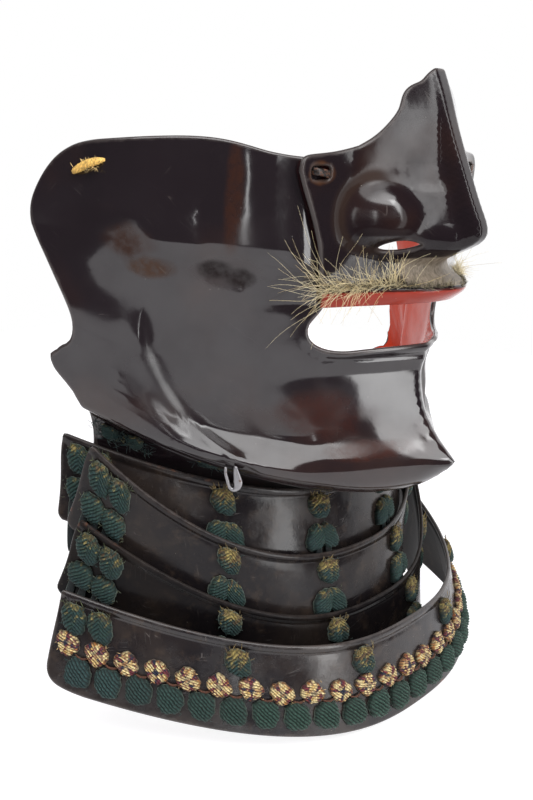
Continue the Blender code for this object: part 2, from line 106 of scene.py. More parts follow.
# The rear edge of each lame from its rim down, as a share of the way round and a level.
LAME_REARS = (
    ((0.985, 30), (0.995, 29.7), (0.999, 28.6), (1.003, 16), (1.007, 4), (1.005, 1.3), (0.992, 0)),
    ((0.985, 30), (0.995, 29.7), (1.0, 28.5), (1.006, 16), (1.013, 4), (1.011, 1.3), (0.996, 0)),
    ((0.985, 30), (0.995, 29.7), (1.0, 28.5), (1.004, 16), (1.009, 4), (1.007, 1.3), (0.992, 0)),
    ((0.985, 33), (0.996, 32.7), (1.0, 31.5), (1.006, 26), (1.012, 20), (1.022, 9), (1.021, 5), (1.01, 2.6),
     (0.975, 0.7), (0.92, 0)),
)  # fmt: skip

# A row of the nose piece is y = front_y + sweep * tanh(|x| / width) at the height front_z. Its front is
# rounded off over soft.
NoseRow = namedtuple("NoseRow", "name level front_y front_z sweep width soft")
NOSE_ROWS = (
    NoseRow("lip edge", 45.0, 7.5, 52.3, 51.0, 60.0, 16.0),
    NoseRow("lip roll", 53.0, 1.0, 58.1, 52.0, 50.0, 14.0),
    NoseRow("lip root", 60.0, 8.0, 62.0, 30.0, 45.0, 8.0),
    NoseRow("philtrum", 62.5, 8.6, 64.5, 24.5, 38.0, 6.0),
    NoseRow("nose floor", 66.0, 5.0, 67.3, 24.8, 30.0, 4.0),
    NoseRow("nose tip", 76.0, -7.0, 74.5, 34.0, 24.0, 2.0),
    NoseRow("wing", 83.0, -5.2, 82.0, 31.7, 24.0, 1.8),
    NoseRow("staple", 95.0, -0.2, 94.0, 28.7, 32.0, 1.8),
    NoseRow("eye edge", 106.0, 4.3, 105.5, 30.0, 50.0, 1.8),
    NoseRow("bridge", 126.0, 10.3, 125.5, 31.0, 60.0, 1.8),
)

# Corners of the outlines of one half, as places (a, b). A smooth curve joins the places of a group.
MOUTH_EDGE = (
    (0, 40.2), (12, 39.7), (24, 39.1), (31, 38.7), (37, 39.8), (41, 43), (41.8, 47), (38.5, 52), (35, 57),
)  # fmt: skip
CHEEK_FRONT = ((35, 57), (31.5, 65), (31, 80), (31, 98))
CHEEK_TOP = ((31, 98), (47, 98.3), (56, 99.9), (65, 102.3), (71, 103.5), (90, 104.2), (105, 103.4))
EAR_LOBE = ((105, 103.4), (116, 102.2), (125, 98.2), (130.3, 91.5), (131.8, 82), (129, 72))
EAR_NOTCH = (
    (129, 72), (123.5, 57), (119, 40), (117.2, 31.5), (118, 24.5), (121.5, 18.5), (128, 10.5), (131.4, 4.5),
)  # fmt: skip
NECK_REAR = (
    (131.4, 4.5), (131, -0.5), (125.3, -6), (119, -15), (106, -33), (99, -42.5), (97, -47), (96.5, -53),
)  # fmt: skip
NOSE_TOP = (
    (0, 125.6), (2.6, 125.4), (7.2, 121.8), (11.2, 120.0), (14.0, 117.6), (16.2, 113.2), (19.6, 108.8),
    (23.5, 105.4), (29, 102.4),
)  # fmt: skip
NOSE_BROW = ((29, 102.4), (36, 100.9), (43.5, 100.2), (47.5, 99.1), (48.9, 95.5))
NOSE_REAR = ((48.9, 95.5), (47.2, 90), (43.6, 81), (40.8, 72.5), (39.2, 64), (37.9, 53), (37.4, 45.5))
NOSTRIL = (17.2, 71.6, 5.0, 2.4)  # centre a, centre b, half width, half height
SLOT = (41.5, 94.8, 3.2, 1.9)  # the staple's slot in each wing, given in the same way

# The jaw ridge leaves the crest of the chin and curls up behind the cheek.
JAW_RIDGE = (
    (60, -2.4), (65.5, -1.4), (71.5, 1.2), (78.7, 6.2), (84.7, 12.2), (89.3, 21.3),
    (92.8, 32.6), (94.3, 45.5), (93.4, 52), (91.3, 58), (88, 62.5),
)  # fmt: skip

# Lacing columns of one half: a share of the way round lame 1, its drift on each lame below, and a place
# (a, b) on the neck flange.
Column = namedtuple("Column", "name share drift neck_a neck_b")
COLUMNS = (
    Column("front", 0.165, 0.009, 19, -35.5),
    Column("middle", 0.490, 0.014, 55.5, -39.5),
    Column("rear_a", 0.868, 0.006, 82, -44.0),
    Column("rear_b", 0.940, 0.006, 91, -45.0),
)
UPPER_KNOT = 0.25  # share of a lame's height, from its rim, at which the upper knots sit
LOWER_KNOT = 0.60
HEM_COUNT = 26
HEM_REACH = 1.008  # share of the way round at which the hem braid ends
ROSETTE_LEVEL = 16.0
BRAID_LEVEL = 7.6


# ---------------------------------------------------------------- curves and lofts

ROW_SAMPLES = 600
MESH_ROW = 0.87  # rows of points on a plate stand this share of their spacing apart
# The bulge of a nostril and the crease round it: centre a, centre b, half width, half height.
BULGE = (22.5, 82, 8.5, 8)
CREASE = (23.0, 82, 9.5, 9.5)
BULGE_HEIGHT = 6.5


def row_length(row):
    """The distance round a row from the middle to its end."""
    return float(polyline_length(row_line(row, np.linspace(0, row.half, ROW_SAMPLES)))[-1])


def row_line(row, x):
    """Points of a row at x, which is 0 or more."""
    u = x / row.half
    return np.stack([x, row.front_y + row.sweep * u**row.bend, row.front_z + row.rise * u**row.lift], -1)


def polyline_length(line):
    """The distance along a polyline at each of its points."""
    return np.r_[0, np.cumsum(np.linalg.norm(np.diff(line, axis=0), axis=1))]


def row_points(row, a):
    """Points of a row at the distances a round it from the middle."""
    line = row_line(row, np.linspace(0, 1.3 * row.half, ROW_SAMPLES))
    along = polyline_length(line)
    points = np.stack([np.interp(np.abs(a), along, line[:, i]) for i in range(3)], -1)
    points[:, 0] *= np.where(a < 0, -1, 1)
    return points


def nose_row_points(row, x):
    """Points of a row of the nose piece, which is level: its a is simply x."""
    side = np.sqrt(x**2 + row.soft**2) - row.soft
    y = row.front_y + row.sweep * np.tanh(side / row.width)
    return np.stack([x, y, np.full_like(x, row.front_z)], -1)


def spline(t, knots, values):
    """A natural cubic spline through values[i] at knots[i], read at t, one value for each t."""
    knots = np.asarray(knots, float)
    values = np.asarray(values, float)
    count = len(knots)
    step = np.diff(knots)
    left = np.eye(count)
    right = np.zeros((count, count))
    for i in range(1, count - 1):
        left[i, i - 1 : i + 2] = step[i - 1], 2 * (step[i - 1] + step[i]), step[i]
        right[i, i - 1 : i + 2] = 6 / step[i - 1], -6 / step[i - 1] - 6 / step[i], 6 / step[i]
    second = np.tensordot(np.linalg.solve(left, right), values, (1, 0))
    i = np.clip(np.searchsorted(knots, t) - 1, 0, count - 2)
    each = np.arange(len(t))
    down = ((knots[i + 1] - t) / step[i])[:, None]
    up = 1 - down
    curve = (down**3 - down) * second[i, each] + (up**3 - up) * second[i + 1, each]
    return down * values[i, each] + up * values[i + 1, each] + curve * (step[i] ** 2 / 6)[:, None]


def curve_at(t, knots, points):
    """A smooth curve that passes points[i] at knots[i], read at t."""
    return spline(t, knots, np.repeat(np.asarray(points, float)[:, None, :], len(t), axis=1))


def smooth_curve(points, spacing):
    """Places along a smooth curve through points, about spacing apart, both ends included."""
    points = np.asarray(points, float)
    along = polyline_length(points)
    return curve_at(np.linspace(0, along[-1], max(2, round(along[-1] / spacing) + 1)), along, points)


def unit(vectors):
    """The same directions, one long."""
    return vectors / np.linalg.norm(vectors, axis=-1, keepdims=True)


def bell(x, width):
    """A smooth bump, 1 high at 0 and nearly gone at twice its width."""
    return np.exp(-((x / width) ** 2))


def limit(x):
    """x held between 0 and 1."""
    return np.clip(x, 0, 1)


def ease(x):
    """0 below 0 and 1 above 1, with a smooth step between."""
    x = limit(x)
    return x**2 * (3 - 2 * x)


def face_wall(a, b):
    """The outer surface of the mask's plate, without its jaw ridge.

    The crest of the chin is sharp in front and softens away behind the jaw, where the plate is plain.
    """
    reach = (1.5 + 26 * limit((np.abs(a) - 70) / 40) ** 1.5) * bell(b, 32)
    total = np.zeros((len(a), 3))
    weights = 0
    for part in np.linspace(-1, 1, 7):
        level = b + reach * part
        upper = spline(level, [r.level for r in FACE_ROWS], [row_points(r, a) for r in FACE_ROWS])
        lower = spline(level, [r.level for r in THROAT_ROWS], [row_points(r, a) for r in THROAT_ROWS])
        weight = 1 - 0.75 * abs(part)
        total += weight * np.where((level >= 0)[:, None], upper, lower)
        weights += weight
    return total / weights


def oval_square(a, b, oval):
    """The square of the distance from an oval's centre, 1 on the oval."""
    centre_a, centre_b, wide, high = oval
    return ((a - centre_a) / wide) ** 2 + ((b - centre_b) / high) ** 2


def nose_wall(a, b):
    """The outer surface of the nose piece, with the bulges of its nostrils."""
    points = spline(b, [r.level for r in NOSE_ROWS], [nose_row_points(r, a) for r in NOSE_ROWS])
    points[:, 1] -= BULGE_HEIGHT * np.exp(-(oval_square(np.abs(a), b, BULGE) ** 1.3))
    return points


def lame_reach(number):
    """Half the distance round a lame, at the middle of its height."""
    foot, rim = LAME_ROWS[number - 1]
    return (row_length(foot) + row_length(rim)) / 2


def lame_wall(number):
    """The outer surface of a throat lame. Here a is a share of the way round, from -1 to 1."""
    foot, rim = LAME_ROWS[number - 1]

    def wall(a, b):
        up = (b / rim.level)[:, None]
        low = row_points(foot, a * row_length(foot))
        high = row_points(rim, a * row_length(rim))
        reach, start, full, end = HANG[number - 1]
        lean = reach * limit((a - start) / (full - start)) * limit((1.15 - a) / end)
        return low + (high - low) * up + (1 - up) * lean[:, None] * [-0.67, 0.74, 0]

    return wall


def normals(wall, a, b, step_a, step_b):
    """Outward unit normals of a wall, from the slope between near places on it."""
    across = wall(a + step_a, b) - wall(a - step_a, b)
    upward = wall(a, b + step_b) - wall(a, b - step_b)
    return unit(np.cross(across, upward))


def distance_to_curve(points, line):
    """For each point in the plane, its distance to a polyline, its side, and its share along it."""
    start = line[:-1]
    leg = np.diff(line, axis=0)
    share = limit(((points[:, None] - start) * leg).sum(-1) / (leg**2).sum(-1))
    gap = points[:, None] - (start + share[..., None] * leg)
    far = np.linalg.norm(gap, axis=-1)
    near = far.argmin(axis=1)
    each = np.arange(len(points))
    side = np.sign(gap[each, near, 0] * leg[near, 1] - gap[each, near, 1] * leg[near, 0])
    along = (near + share[each, near]) / len(leg)
    return far[each, near], side, along


def inside(points, loop):
    """Which points lie inside a closed polygon."""
    x, y = points[:, 0][:, None], points[:, 1][:, None]
    ax, ay = loop[:, 0], loop[:, 1]
    bx, by = np.roll(ax, -1), np.roll(ay, -1)
    crosses = (ay > y) != (by > y)
    with np.errstate(divide="ignore", invalid="ignore"):
        reach = ax + (y - ay) * (bx - ax) / (by - ay)
    return (crosses & (x < reach)).sum(axis=1) % 2 == 1


def both_halves(half):
    """A closed loop from the outline of the half a >= 0, which starts and ends on the middle."""
    mirrored = (half * [-1, 1])[::-1]
    return np.concatenate([half, mirrored[1:-1]])


def within(points, loops):
    """Which points lie inside the first loop and outside the others."""
    kept = inside(points, loops[0])
    for hole in loops[1:]:
        kept &= ~inside(points, hole)
    return kept


def filled(loops, spacing, guides=()):
    """Places and triangles that fill the first loop, less the others, with points on the guides."""
    step = np.array([spacing, MESH_ROW * spacing])
    low, high = np.floor(loops[0].min(axis=0) / step), np.ceil(loops[0].max(axis=0) / step) + 1
    columns, rows = np.arange(low[0], high[0]), np.arange(low[1], high[1])
    grid = np.array([((c + 0.5 * (r % 2)) * spacing, r * MESH_ROW * spacing) for r in rows for c in columns])
    kept = within(grid, loops)
    fixed = [np.concatenate([loop, loop[:1]]) for loop in loops] + [g for g in guides if len(g) > 1]
    for line in fixed:
        kept &= distance_to_curve(grid, line)[0] > 0.55 * spacing
    places = np.concatenate([*loops, *guides, grid[kept]])
    edges = []
    for loop in loops:
        first, count = len(edges), len(loop)
        edges += [(first + i, first + (i + 1) % count) for i in range(count)]
    made = delaunay_2d_cdt([tuple(p) for p in places], edges, [], 0, 1e-6)
    places = np.array([tuple(p) for p in made[0]])
    triangles = np.array(made[2])
    return places, triangles[within(places[triangles].mean(axis=1), loops)]


def circle(count):
    """Points evenly round a circle of radius 1."""
    turn = np.linspace(0, 2 * np.pi, count, endpoint=False)
    return np.stack([np.cos(turn), np.sin(turn)], -1)


# ---------------------------------------------------------------- fine walls

LIP_LINE = ((0, 36.2), (12, 35.8), (24, 35.2), (33, 35.2), (39, 37.5), (45, 42))
WRINKLE = ((74, 51), (68, 53.3), (60, 55.4), (52, 56.2), (44, 55.6), (39, 53))
ALMOND = ((74.5, 64.6), (67, 63.6), (59.5, 61.2))
# How far the crest of the chin stands back from the plain loft at places round it, on the right side and on
# the left: a sharper prow, a little uneven as hammered plates are.
PROW = (
    (0, -3.0, -3.0), (4, -1.0, -0.4), (8, 1.6, 2.6), (14, 3.5, 5.0), (20, 4.5, 6.3), (27, 4.7, 6.8),
    (34, 4.5, 6.8), (43, 4.0, 5.6), (51, 3.4, 4.5), (60, 2.6, 3.4), (80, 1.0, 1.2), (100, 0, 0),
)  # fmt: skip
# Rows up the nose's flank: level, how far it stands back beside the bridge, how far across that reaches,
# the power of its fall, and how far the wing's inner half stands back.
FLANK = (
    (70, 0.0, 12, 1.5, 0), (80, 3.4, 13, 1.6, 0), (84, 2.9, 12.5, 1.6, 0), (88, 2.6, 14, 1.9, 0),
    (92, 2.6, 17, 1.6, 0.8), (97, 1.8, 17, 1.5, 1.8), (104, 0.7, 14, 1.0, 1.5),
    (112, 0.2, 14, 1.0, 0.3), (124, 0.2, 14, 1.0, 0),
)  # fmt: skip
# How steeply the foot of the upper band leans out, at distances round the face.
BAND_SLOPE = ((26, 54, 76, 86, 96, 106, 114), (0, -0.2, -0.2, -0.03, 0.2, 0.2, 0))
# How much shorter the plate is behind the left cheek, from level to level.
LEFT_TRIM = ((-53, -44, -38, -33, -26, -18, -12, -8, -4, 4, 9, 16), (0, 2, 6, 8, 4, 0.5, 2, 3, 5, 6, 3, 0))


def near_curve(a, b, knots):
    """Distance, side and share along for a smooth curve drawn on both halves of the face."""
    return distance_to_curve(np.stack([np.abs(a), b], -1), smooth_curve(knots, 1.5))


def softly(x, width):
    """x where it is positive and 0 elsewhere, with a soft turn between."""
    return 0.5 * (x + np.sqrt(x**2 + width**2))


def jaw_relief(a, b):
    """How far the jaw ridge and the plate behind it stand out, less the hollows beside the ridge."""
    far, side, along = near_curve(a, b, JAW_RIDGE)
    behind = far * side
    strength = limit(along / 0.25) * limit((1 - along) / 0.45)
    ridge = 0.8 * bell(behind, 3.6)
    hollows = 0.15 * bell(behind + 8, 4.5) + 0.2 * bell(behind - 8, 5.0)
    rear = limit(0.5 + behind / 10) * limit((np.abs(a) - 80) / 14)
    swell = 2.2 * ease((b - 6) / 24) * ease((62 - b) / 32) * ease(rear)
    return strength * (ridge - hollows) + swell


def face_relief(a, b):
    """The lower lip's roll, the wrinkle beside the mouth and the small dents of the cheek."""
    round_face = np.abs(a)
    far, _, _ = near_curve(a, b, LIP_LINE)
    above = np.where(b > np.interp(round_face, *zip(*LIP_LINE)), far, -far)
    lip = limit((44 - round_face) / 16) * (1.3 * bell(above - 3.0, 2.6) - 0.7 * bell(above, 1.1))
    far, _, along = near_curve(a, b, WRINKLE)
    wrinkle = -0.4 * bell(far, 3.2) * limit(along * 1.6) * limit((1 - along) / 0.12)
    far, _, along = near_curve(a, b, ALMOND)
    dent = -1.1 * bell(far, 3.4) * np.clip(along / 0.16, 0.3, 1) * np.clip((1 - along) / 0.16, 0.3, 1)
    beside = ease(limit((round_face - 36) / 22) * limit((96 - round_face) / 16))
    recess = np.minimum(0.05 * (37 - b) + 0.23 * softly(22 - b, 3.0), 0.43 * b + 0.2)
    groove = ease(limit((round_face - 18) / 14) * limit((62 - round_face) / 20))
    fillet = -beside * np.clip(recess, 0, 9) * limit((37 - b) / 4) - 2.0 * groove * bell(b - 8.5, 3.6)
    chin = -1.3 * bell(round_face, 40) * bell(b - 29, 6.5)
    cheek = limit((round_face - 34) / 20) * limit((112 - round_face) / 26)
    slope = np.interp(round_face, *BAND_SLOPE)
    band = -0.09 * cheek * np.clip(b - 78, 0, 40) + slope * np.clip(b - 71.5, 0, 8)
    bone = 0.065 * limit((round_face - 74) / 20) * np.clip(b - 30, 0, 42) * limit((100 - b) / 28)
    keel = 2.0 * np.exp(-round_face / 6.5) * limit((b - 1) / 8) * limit((44 - b) / 10)
    under_wing = 1.3 * bell(round_face - 44, 6.5) * limit((b - 56) / 12)
    return lip + wrinkle + dent + fillet + chin + band + bone + keel + under_wing


def smooth_rows(rows):
    """The columns of a small table, the first at every millimetre and the others smoothly between its rows."""
    rows = np.array(rows, float)
    t = np.arange(rows[0, 0], rows[-1, 0] + 0.5)
    return t, *curve_at(t, rows[:, 0], rows[:, 1:]).T


def mask_wall(a, b):
    """The face wall with its prow, its reliefs and the sag of the crest beside the chin."""
    relief = jaw_relief(a, b) + face_relief(a, b)
    sink = 1.6 * bell(np.abs(a) - 42, 22) * bell(b, 9)
    far, right, left = smooth_rows(PROW)
    share = limit((a + 3) / 8)
    back = np.interp(np.abs(a), far, right) * (1 - share) + np.interp(np.abs(a), far, left) * share
    up = (1 - limit(b / 10)) ** 2.0 * (1 - share) + (1 - limit(b / 21)) ** 1.3 * share
    back = back * np.where(b > 0, up, limit(1 + b / 15) ** 1.6)
    moved = np.stack([np.zeros_like(sink), back, -sink], -1)
    return face_wall(a, b) + relief[:, None] * normals(face_wall, a, b, 1.0, 1.0) + moved


def nose_detail_wall(a, b):
    """The nose piece with the flat of its bridge, its firm flanks and the crease round each nostril."""
    far = np.abs(a)
    flat = bell(far, 3.1) * limit((b - 64) / 8)
    points = nose_wall(np.maximum(far - 2.5 * flat, 0.0), b)
    points[:, 0] = a
    level, *columns = np.array(FLANK, float).T
    depth, reach, power, wing = (np.interp(b, level, column) for column in columns)
    step = (far - 2.9) / 1.4
    flank = depth * ease(step) * limit((reach - far) / (reach - 5)) ** power
    flank = flank + wing * limit((31 - far) / 16) * limit(step) + 0.008 * np.clip(b - 114, 0, 20) ** 2
    ring = np.sqrt(oval_square(far, b, CREASE)) - 1.35
    crease = 0.35 * bell(ring, 0.4) * limit((b - 74) / 6) * limit((far - 14) / 6)
    points[:, 1] += flank + crease
    return points


def beaded(wall, rim):
    """A lame's wall with the turned bead along its rim and the line below the bead."""

    def detailed(a, b):
        down = rim - b
        bead = 0.55 * bell(down - 1.3, 1.1) + 0.2 * bell(down - 2.6, 0.5) - 0.25 * bell(down - 3.4, 0.35)
        return wall(a, b) + bead[:, None] * normals(wall, a, b, 0.01, 1.0)

    return detailed


# ---------------------------------------------------------------- mesh makers


def as_piece(name, points, faces, finishes, which=None, shading=None, fields=None):
    """A mesh piece from points in millimetres, with its finishes, its normals and its named fields."""
    mesh = bpy.data.meshes.new(name)
    mesh.from_pydata(((np.asarray(points, float) - SEAT) * MM).tolist(), [], faces)
    for finish in finishes:
        mesh.materials.append(finish)
    if which is not None:
        mesh.polygons.foreach_set("material_index", np.asarray(which, np.int32))
    for field, values in (fields or {}).items():
        values = np.asarray(values, np.float32)
        kind = "FLOAT_VECTOR" if values.shape[1] == 3 else "FLOAT_COLOR"
        made = mesh.attributes.new(field, kind, "POINT")
        made.data.foreach_set("vector" if kind == "FLOAT_VECTOR" else "color", values.ravel())
    mesh.shade_smooth()
    if shading is not None:
        mesh.normals_split_custom_set_from_vertices(np.asarray(shading, float).tolist())
    obj = bpy.data.objects.new(name, mesh)
    bpy.context.scene.collection.objects.link(obj)
    return obj


def tinted_piece(name, points, faces, tints, finish):
    """A piece whose field "tint" holds a colour for each point."""
    fields = {"tint": np.concatenate([tints, np.ones((len(tints), 1))], -1)}
    return as_piece(name, points, faces, [finish], fields=fields)


def settle(piece, slot, *nodes):
    """Says what a piece rides and which nodes it stands for; slot is not used."""
    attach(piece, "root")
    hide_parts(*nodes)


def tube_faces(rings, sides, first=0):
    """The faces of a closed tube whose rings of points follow one another."""
    faces = []
    for near in range(first, first + (rings - 1) * sides, sides):
        for k in range(sides):
            n = (k + 1) % sides
            faces.append([near + k, near + n, near + sides + n, near + sides + k])
    last = first + (rings - 1) * sides
    return faces + [list(range(first, first + sides))[::-1], list(range(last, last + sides))]


def inset(loop, depth):
    """A closed outline moved inwards by depth."""
    following = np.roll(loop, -1, axis=0)
    ahead = unit(following - np.roll(loop, 1, axis=0))
    turning = np.sign((loop[:, 0] * following[:, 1] - loop[:, 1] * following[:, 0]).sum())
    return loop + depth * turning * np.stack([-ahead[:, 1], ahead[:, 0]], -1)


def fine_plate(name, wall, loops, spacing, thickness, finishes, scale=1.0, guides=()):
    """A plate with half-round edges: the wall inside the loops, thickened inwards.

    finishes are the outside's and the inside's. The field "place" holds a and b in millimetres, and the
    distance to the nearest edge.
    """
    half, rings = thickness / 2, 5
    loops = [inset(loop, half if i == 0 else -half) for i, loop in enumerate(loops)]
    places, triangles = filled(loops, spacing, guides)
    a, b = places[:, 0] * scale, places[:, 1]
    out = normals(wall, a, b, 0.4 * scale, 0.4)
    outer = wall(a, b)
    middle = outer - half * out
    count = len(places)
    edge = np.full(count, 1e3)
    for loop in loops:
        edge = np.minimum(edge, distance_to_curve(places, np.concatenate([loop, loop[:1]]))[0])
    starts = np.concatenate([triangles[:, 0], triangles[:, 1], triangles[:, 2]])
    ends = np.concatenate([triangles[:, 1], triangles[:, 2], triangles[:, 0]])
    twins = set(zip(ends.tolist(), starts.tolist()))
    rims = [(s, e) for s, e in zip(starts.tolist(), ends.tolist()) if (s, e) not in twins]
    away = np.zeros((count, 3))
    for s, e in rims:
        leg = unit(np.cross(middle[e] - middle[s], out[s]))
        away[s] += leg
        away[e] += leg
    on_rim = np.array(sorted({s for s, e in rims}))
    away[on_rim] = unit(away[on_rim])
    points = [outer, middle - half * out]
    shading = [out, -out]
    index = [{int(v): int(v) for v in on_rim}]
    for k in range(1, rings):
        turn = np.pi * k / rings
        way = np.sin(turn) * away[on_rim] + np.cos(turn) * out[on_rim]
        first = sum(len(p) for p in points)
        index.append({int(v): first + i for i, v in enumerate(on_rim)})
        points.append(middle[on_rim] + half * way)
        shading.append(way)
    index.append({int(v): int(v) + count for v in on_rim})
    faces = triangles.tolist() + (triangles[:, ::-1] + count).tolist()
    which = [0] * len(triangles) + [1] * len(triangles)
    for near, far in zip(index, index[1:]):
        faces += [(near[e], near[s], far[s], far[e]) for s, e in rims]
        which += [0] * len(rims)
    place = np.stack([places[:, 0], b, edge], -1)
    rim_place = place[on_rim] * [1, 1, 0] - [0, 0, 0.5]
    fields = {"place": np.concatenate([place, place, *[rim_place] * (rings - 1)])}
    return as_piece(name, np.concatenate(points), faces, finishes, which, np.concatenate(shading), fields)


def outline(groups, spacing, fineness):
    """The outline of a plate that is closed by a level foot: its groups of corners, mirrored."""
    half = [smooth_curve(group, spacing * fineness)[:-1] for group in groups]
    a, b = groups[-1][-1]
    count = round(a / spacing)
    foot = np.stack([np.linspace(a, 0, count), np.full(count, b)], -1)
    return both_halves(np.concatenate([*half, foot]))


def mask_body(finishes):
    """The mask's plate, with rows of points along its crest and its jaw ridge."""
    spacing = 1.9
    groups = (MOUTH_EDGE, CHEEK_FRONT, CHEEK_TOP, EAR_LOBE, EAR_NOTCH, NECK_REAR)
    loop = outline(groups, spacing, 0.8)
    loop[:, 0] -= np.where(loop[:, 0] > 80, np.interp(loop[:, 1], *LEFT_TRIM), 0)
    crest = np.arange(-72, 72.1, spacing * 0.8)
    guides = [np.stack([crest, np.full(len(crest), 0.0)], -1)]
    ridge = smooth_curve(JAW_RIDGE, 1.6)[1:-1]
    ahead = unit(np.gradient(ridge, axis=0))
    beside = np.stack([ahead[:, 1], -ahead[:, 0]], -1)
    for aside in (-1.9, -0.7, 0.7, 1.9):
        line = ridge + aside * beside
        guides += [line, line * [-1, 1]]
    return fine_plate("mask_shell", mask_wall, [loop], spacing, PLATE, finishes, guides=guides)


def nose_piece(finishes):
    """The nose's plate, with a round nostril and a squarish slot in each half."""
    spacing = 1.1
    loop = outline((NOSE_TOP, NOSE_BROW, NOSE_REAR), spacing, 0.9)
    round_hole = circle(24)
    square_hole = round_hole / ((np.abs(round_hole) ** 5).sum(axis=1) ** 0.2)[:, None]
    holes = []
    for side in (1, -1):
        for (a, b, wide, high), shape in ((NOSTRIL, round_hole), (SLOT, square_hole)):
            holes.append(shape * [wide, high] + [side * a, b])
    return fine_plate("nose_shell", nose_detail_wall, [loop, *holes], spacing, PLATE, finishes)


def throat_lame(number, finishes):
    """One lame's plate, with rows of points along the bead of its rim."""
    reach, top_level = lame_reach(number), LAME_ROWS[number - 1][1].level
    rear = np.array(LAME_REARS[number - 1]) * [reach, 1]
    spacing = 2.2
    count = round(reach / spacing)
    top = np.stack([np.linspace(0, rear[0, 0], count), np.full(count, top_level)], -1)[:-1]
    low = np.stack([np.linspace(rear[-1, 0], 0, count), np.zeros(count)], -1)[1:]
    corner = smooth_curve(rear, 1.2)
    loop = both_halves(np.concatenate([top, corner, low]))
    wall = beaded(lame_wall(number), top_level)
    a = np.arange(-0.95 * reach, 0.95 * reach, 2.6)
    guides = [np.stack([a, np.full(len(a), top_level - down)], -1) for down in (1.9, 3.0, 4.1)]
    return fine_plate(f"lame_shell_{number}", wall, [loop], spacing, LAME, finishes, 1 / reach, guides)


# ---------------------------------------------------------------- braid, bristles and small metal

INK = (0.006, 0.022, 0.032)
TEAL = (0.010, 0.040, 0.038)
GREEN = (0.017, 0.048, 0.028)
STRAW = (0.30, 0.23, 0.07)
CREAM = (0.78, 0.63, 0.32)
ORANGE = (0.42, 0.14, 0.03)
WINE = (0.16, 0.022, 0.035)
NAVY = (0.012, 0.018, 0.045)
DUN = (0.10, 0.055, 0.022)
RUSSET = (0.10, 0.035, 0.018)
SOOT = (0.07, 0.02, 0.018)
OCHRE = (0.55, 0.33, 0.09)
GOLD = (0.98, 0.60, 0.15)
PALE_GOLD = (0.85, 0.60, 0.25)
PALE_HAIR = (0.78, 0.68, 0.43)
DARK_HAIR = (0.50, 0.37, 0.17)
SHADOW = (0.004, 0.008, 0.010)


def blend(low, high, share):
    """A colour between low and high."""
    return np.asarray(low) + (np.asarray(high) - np.asarray(low)) * np.asarray(share)[..., None]


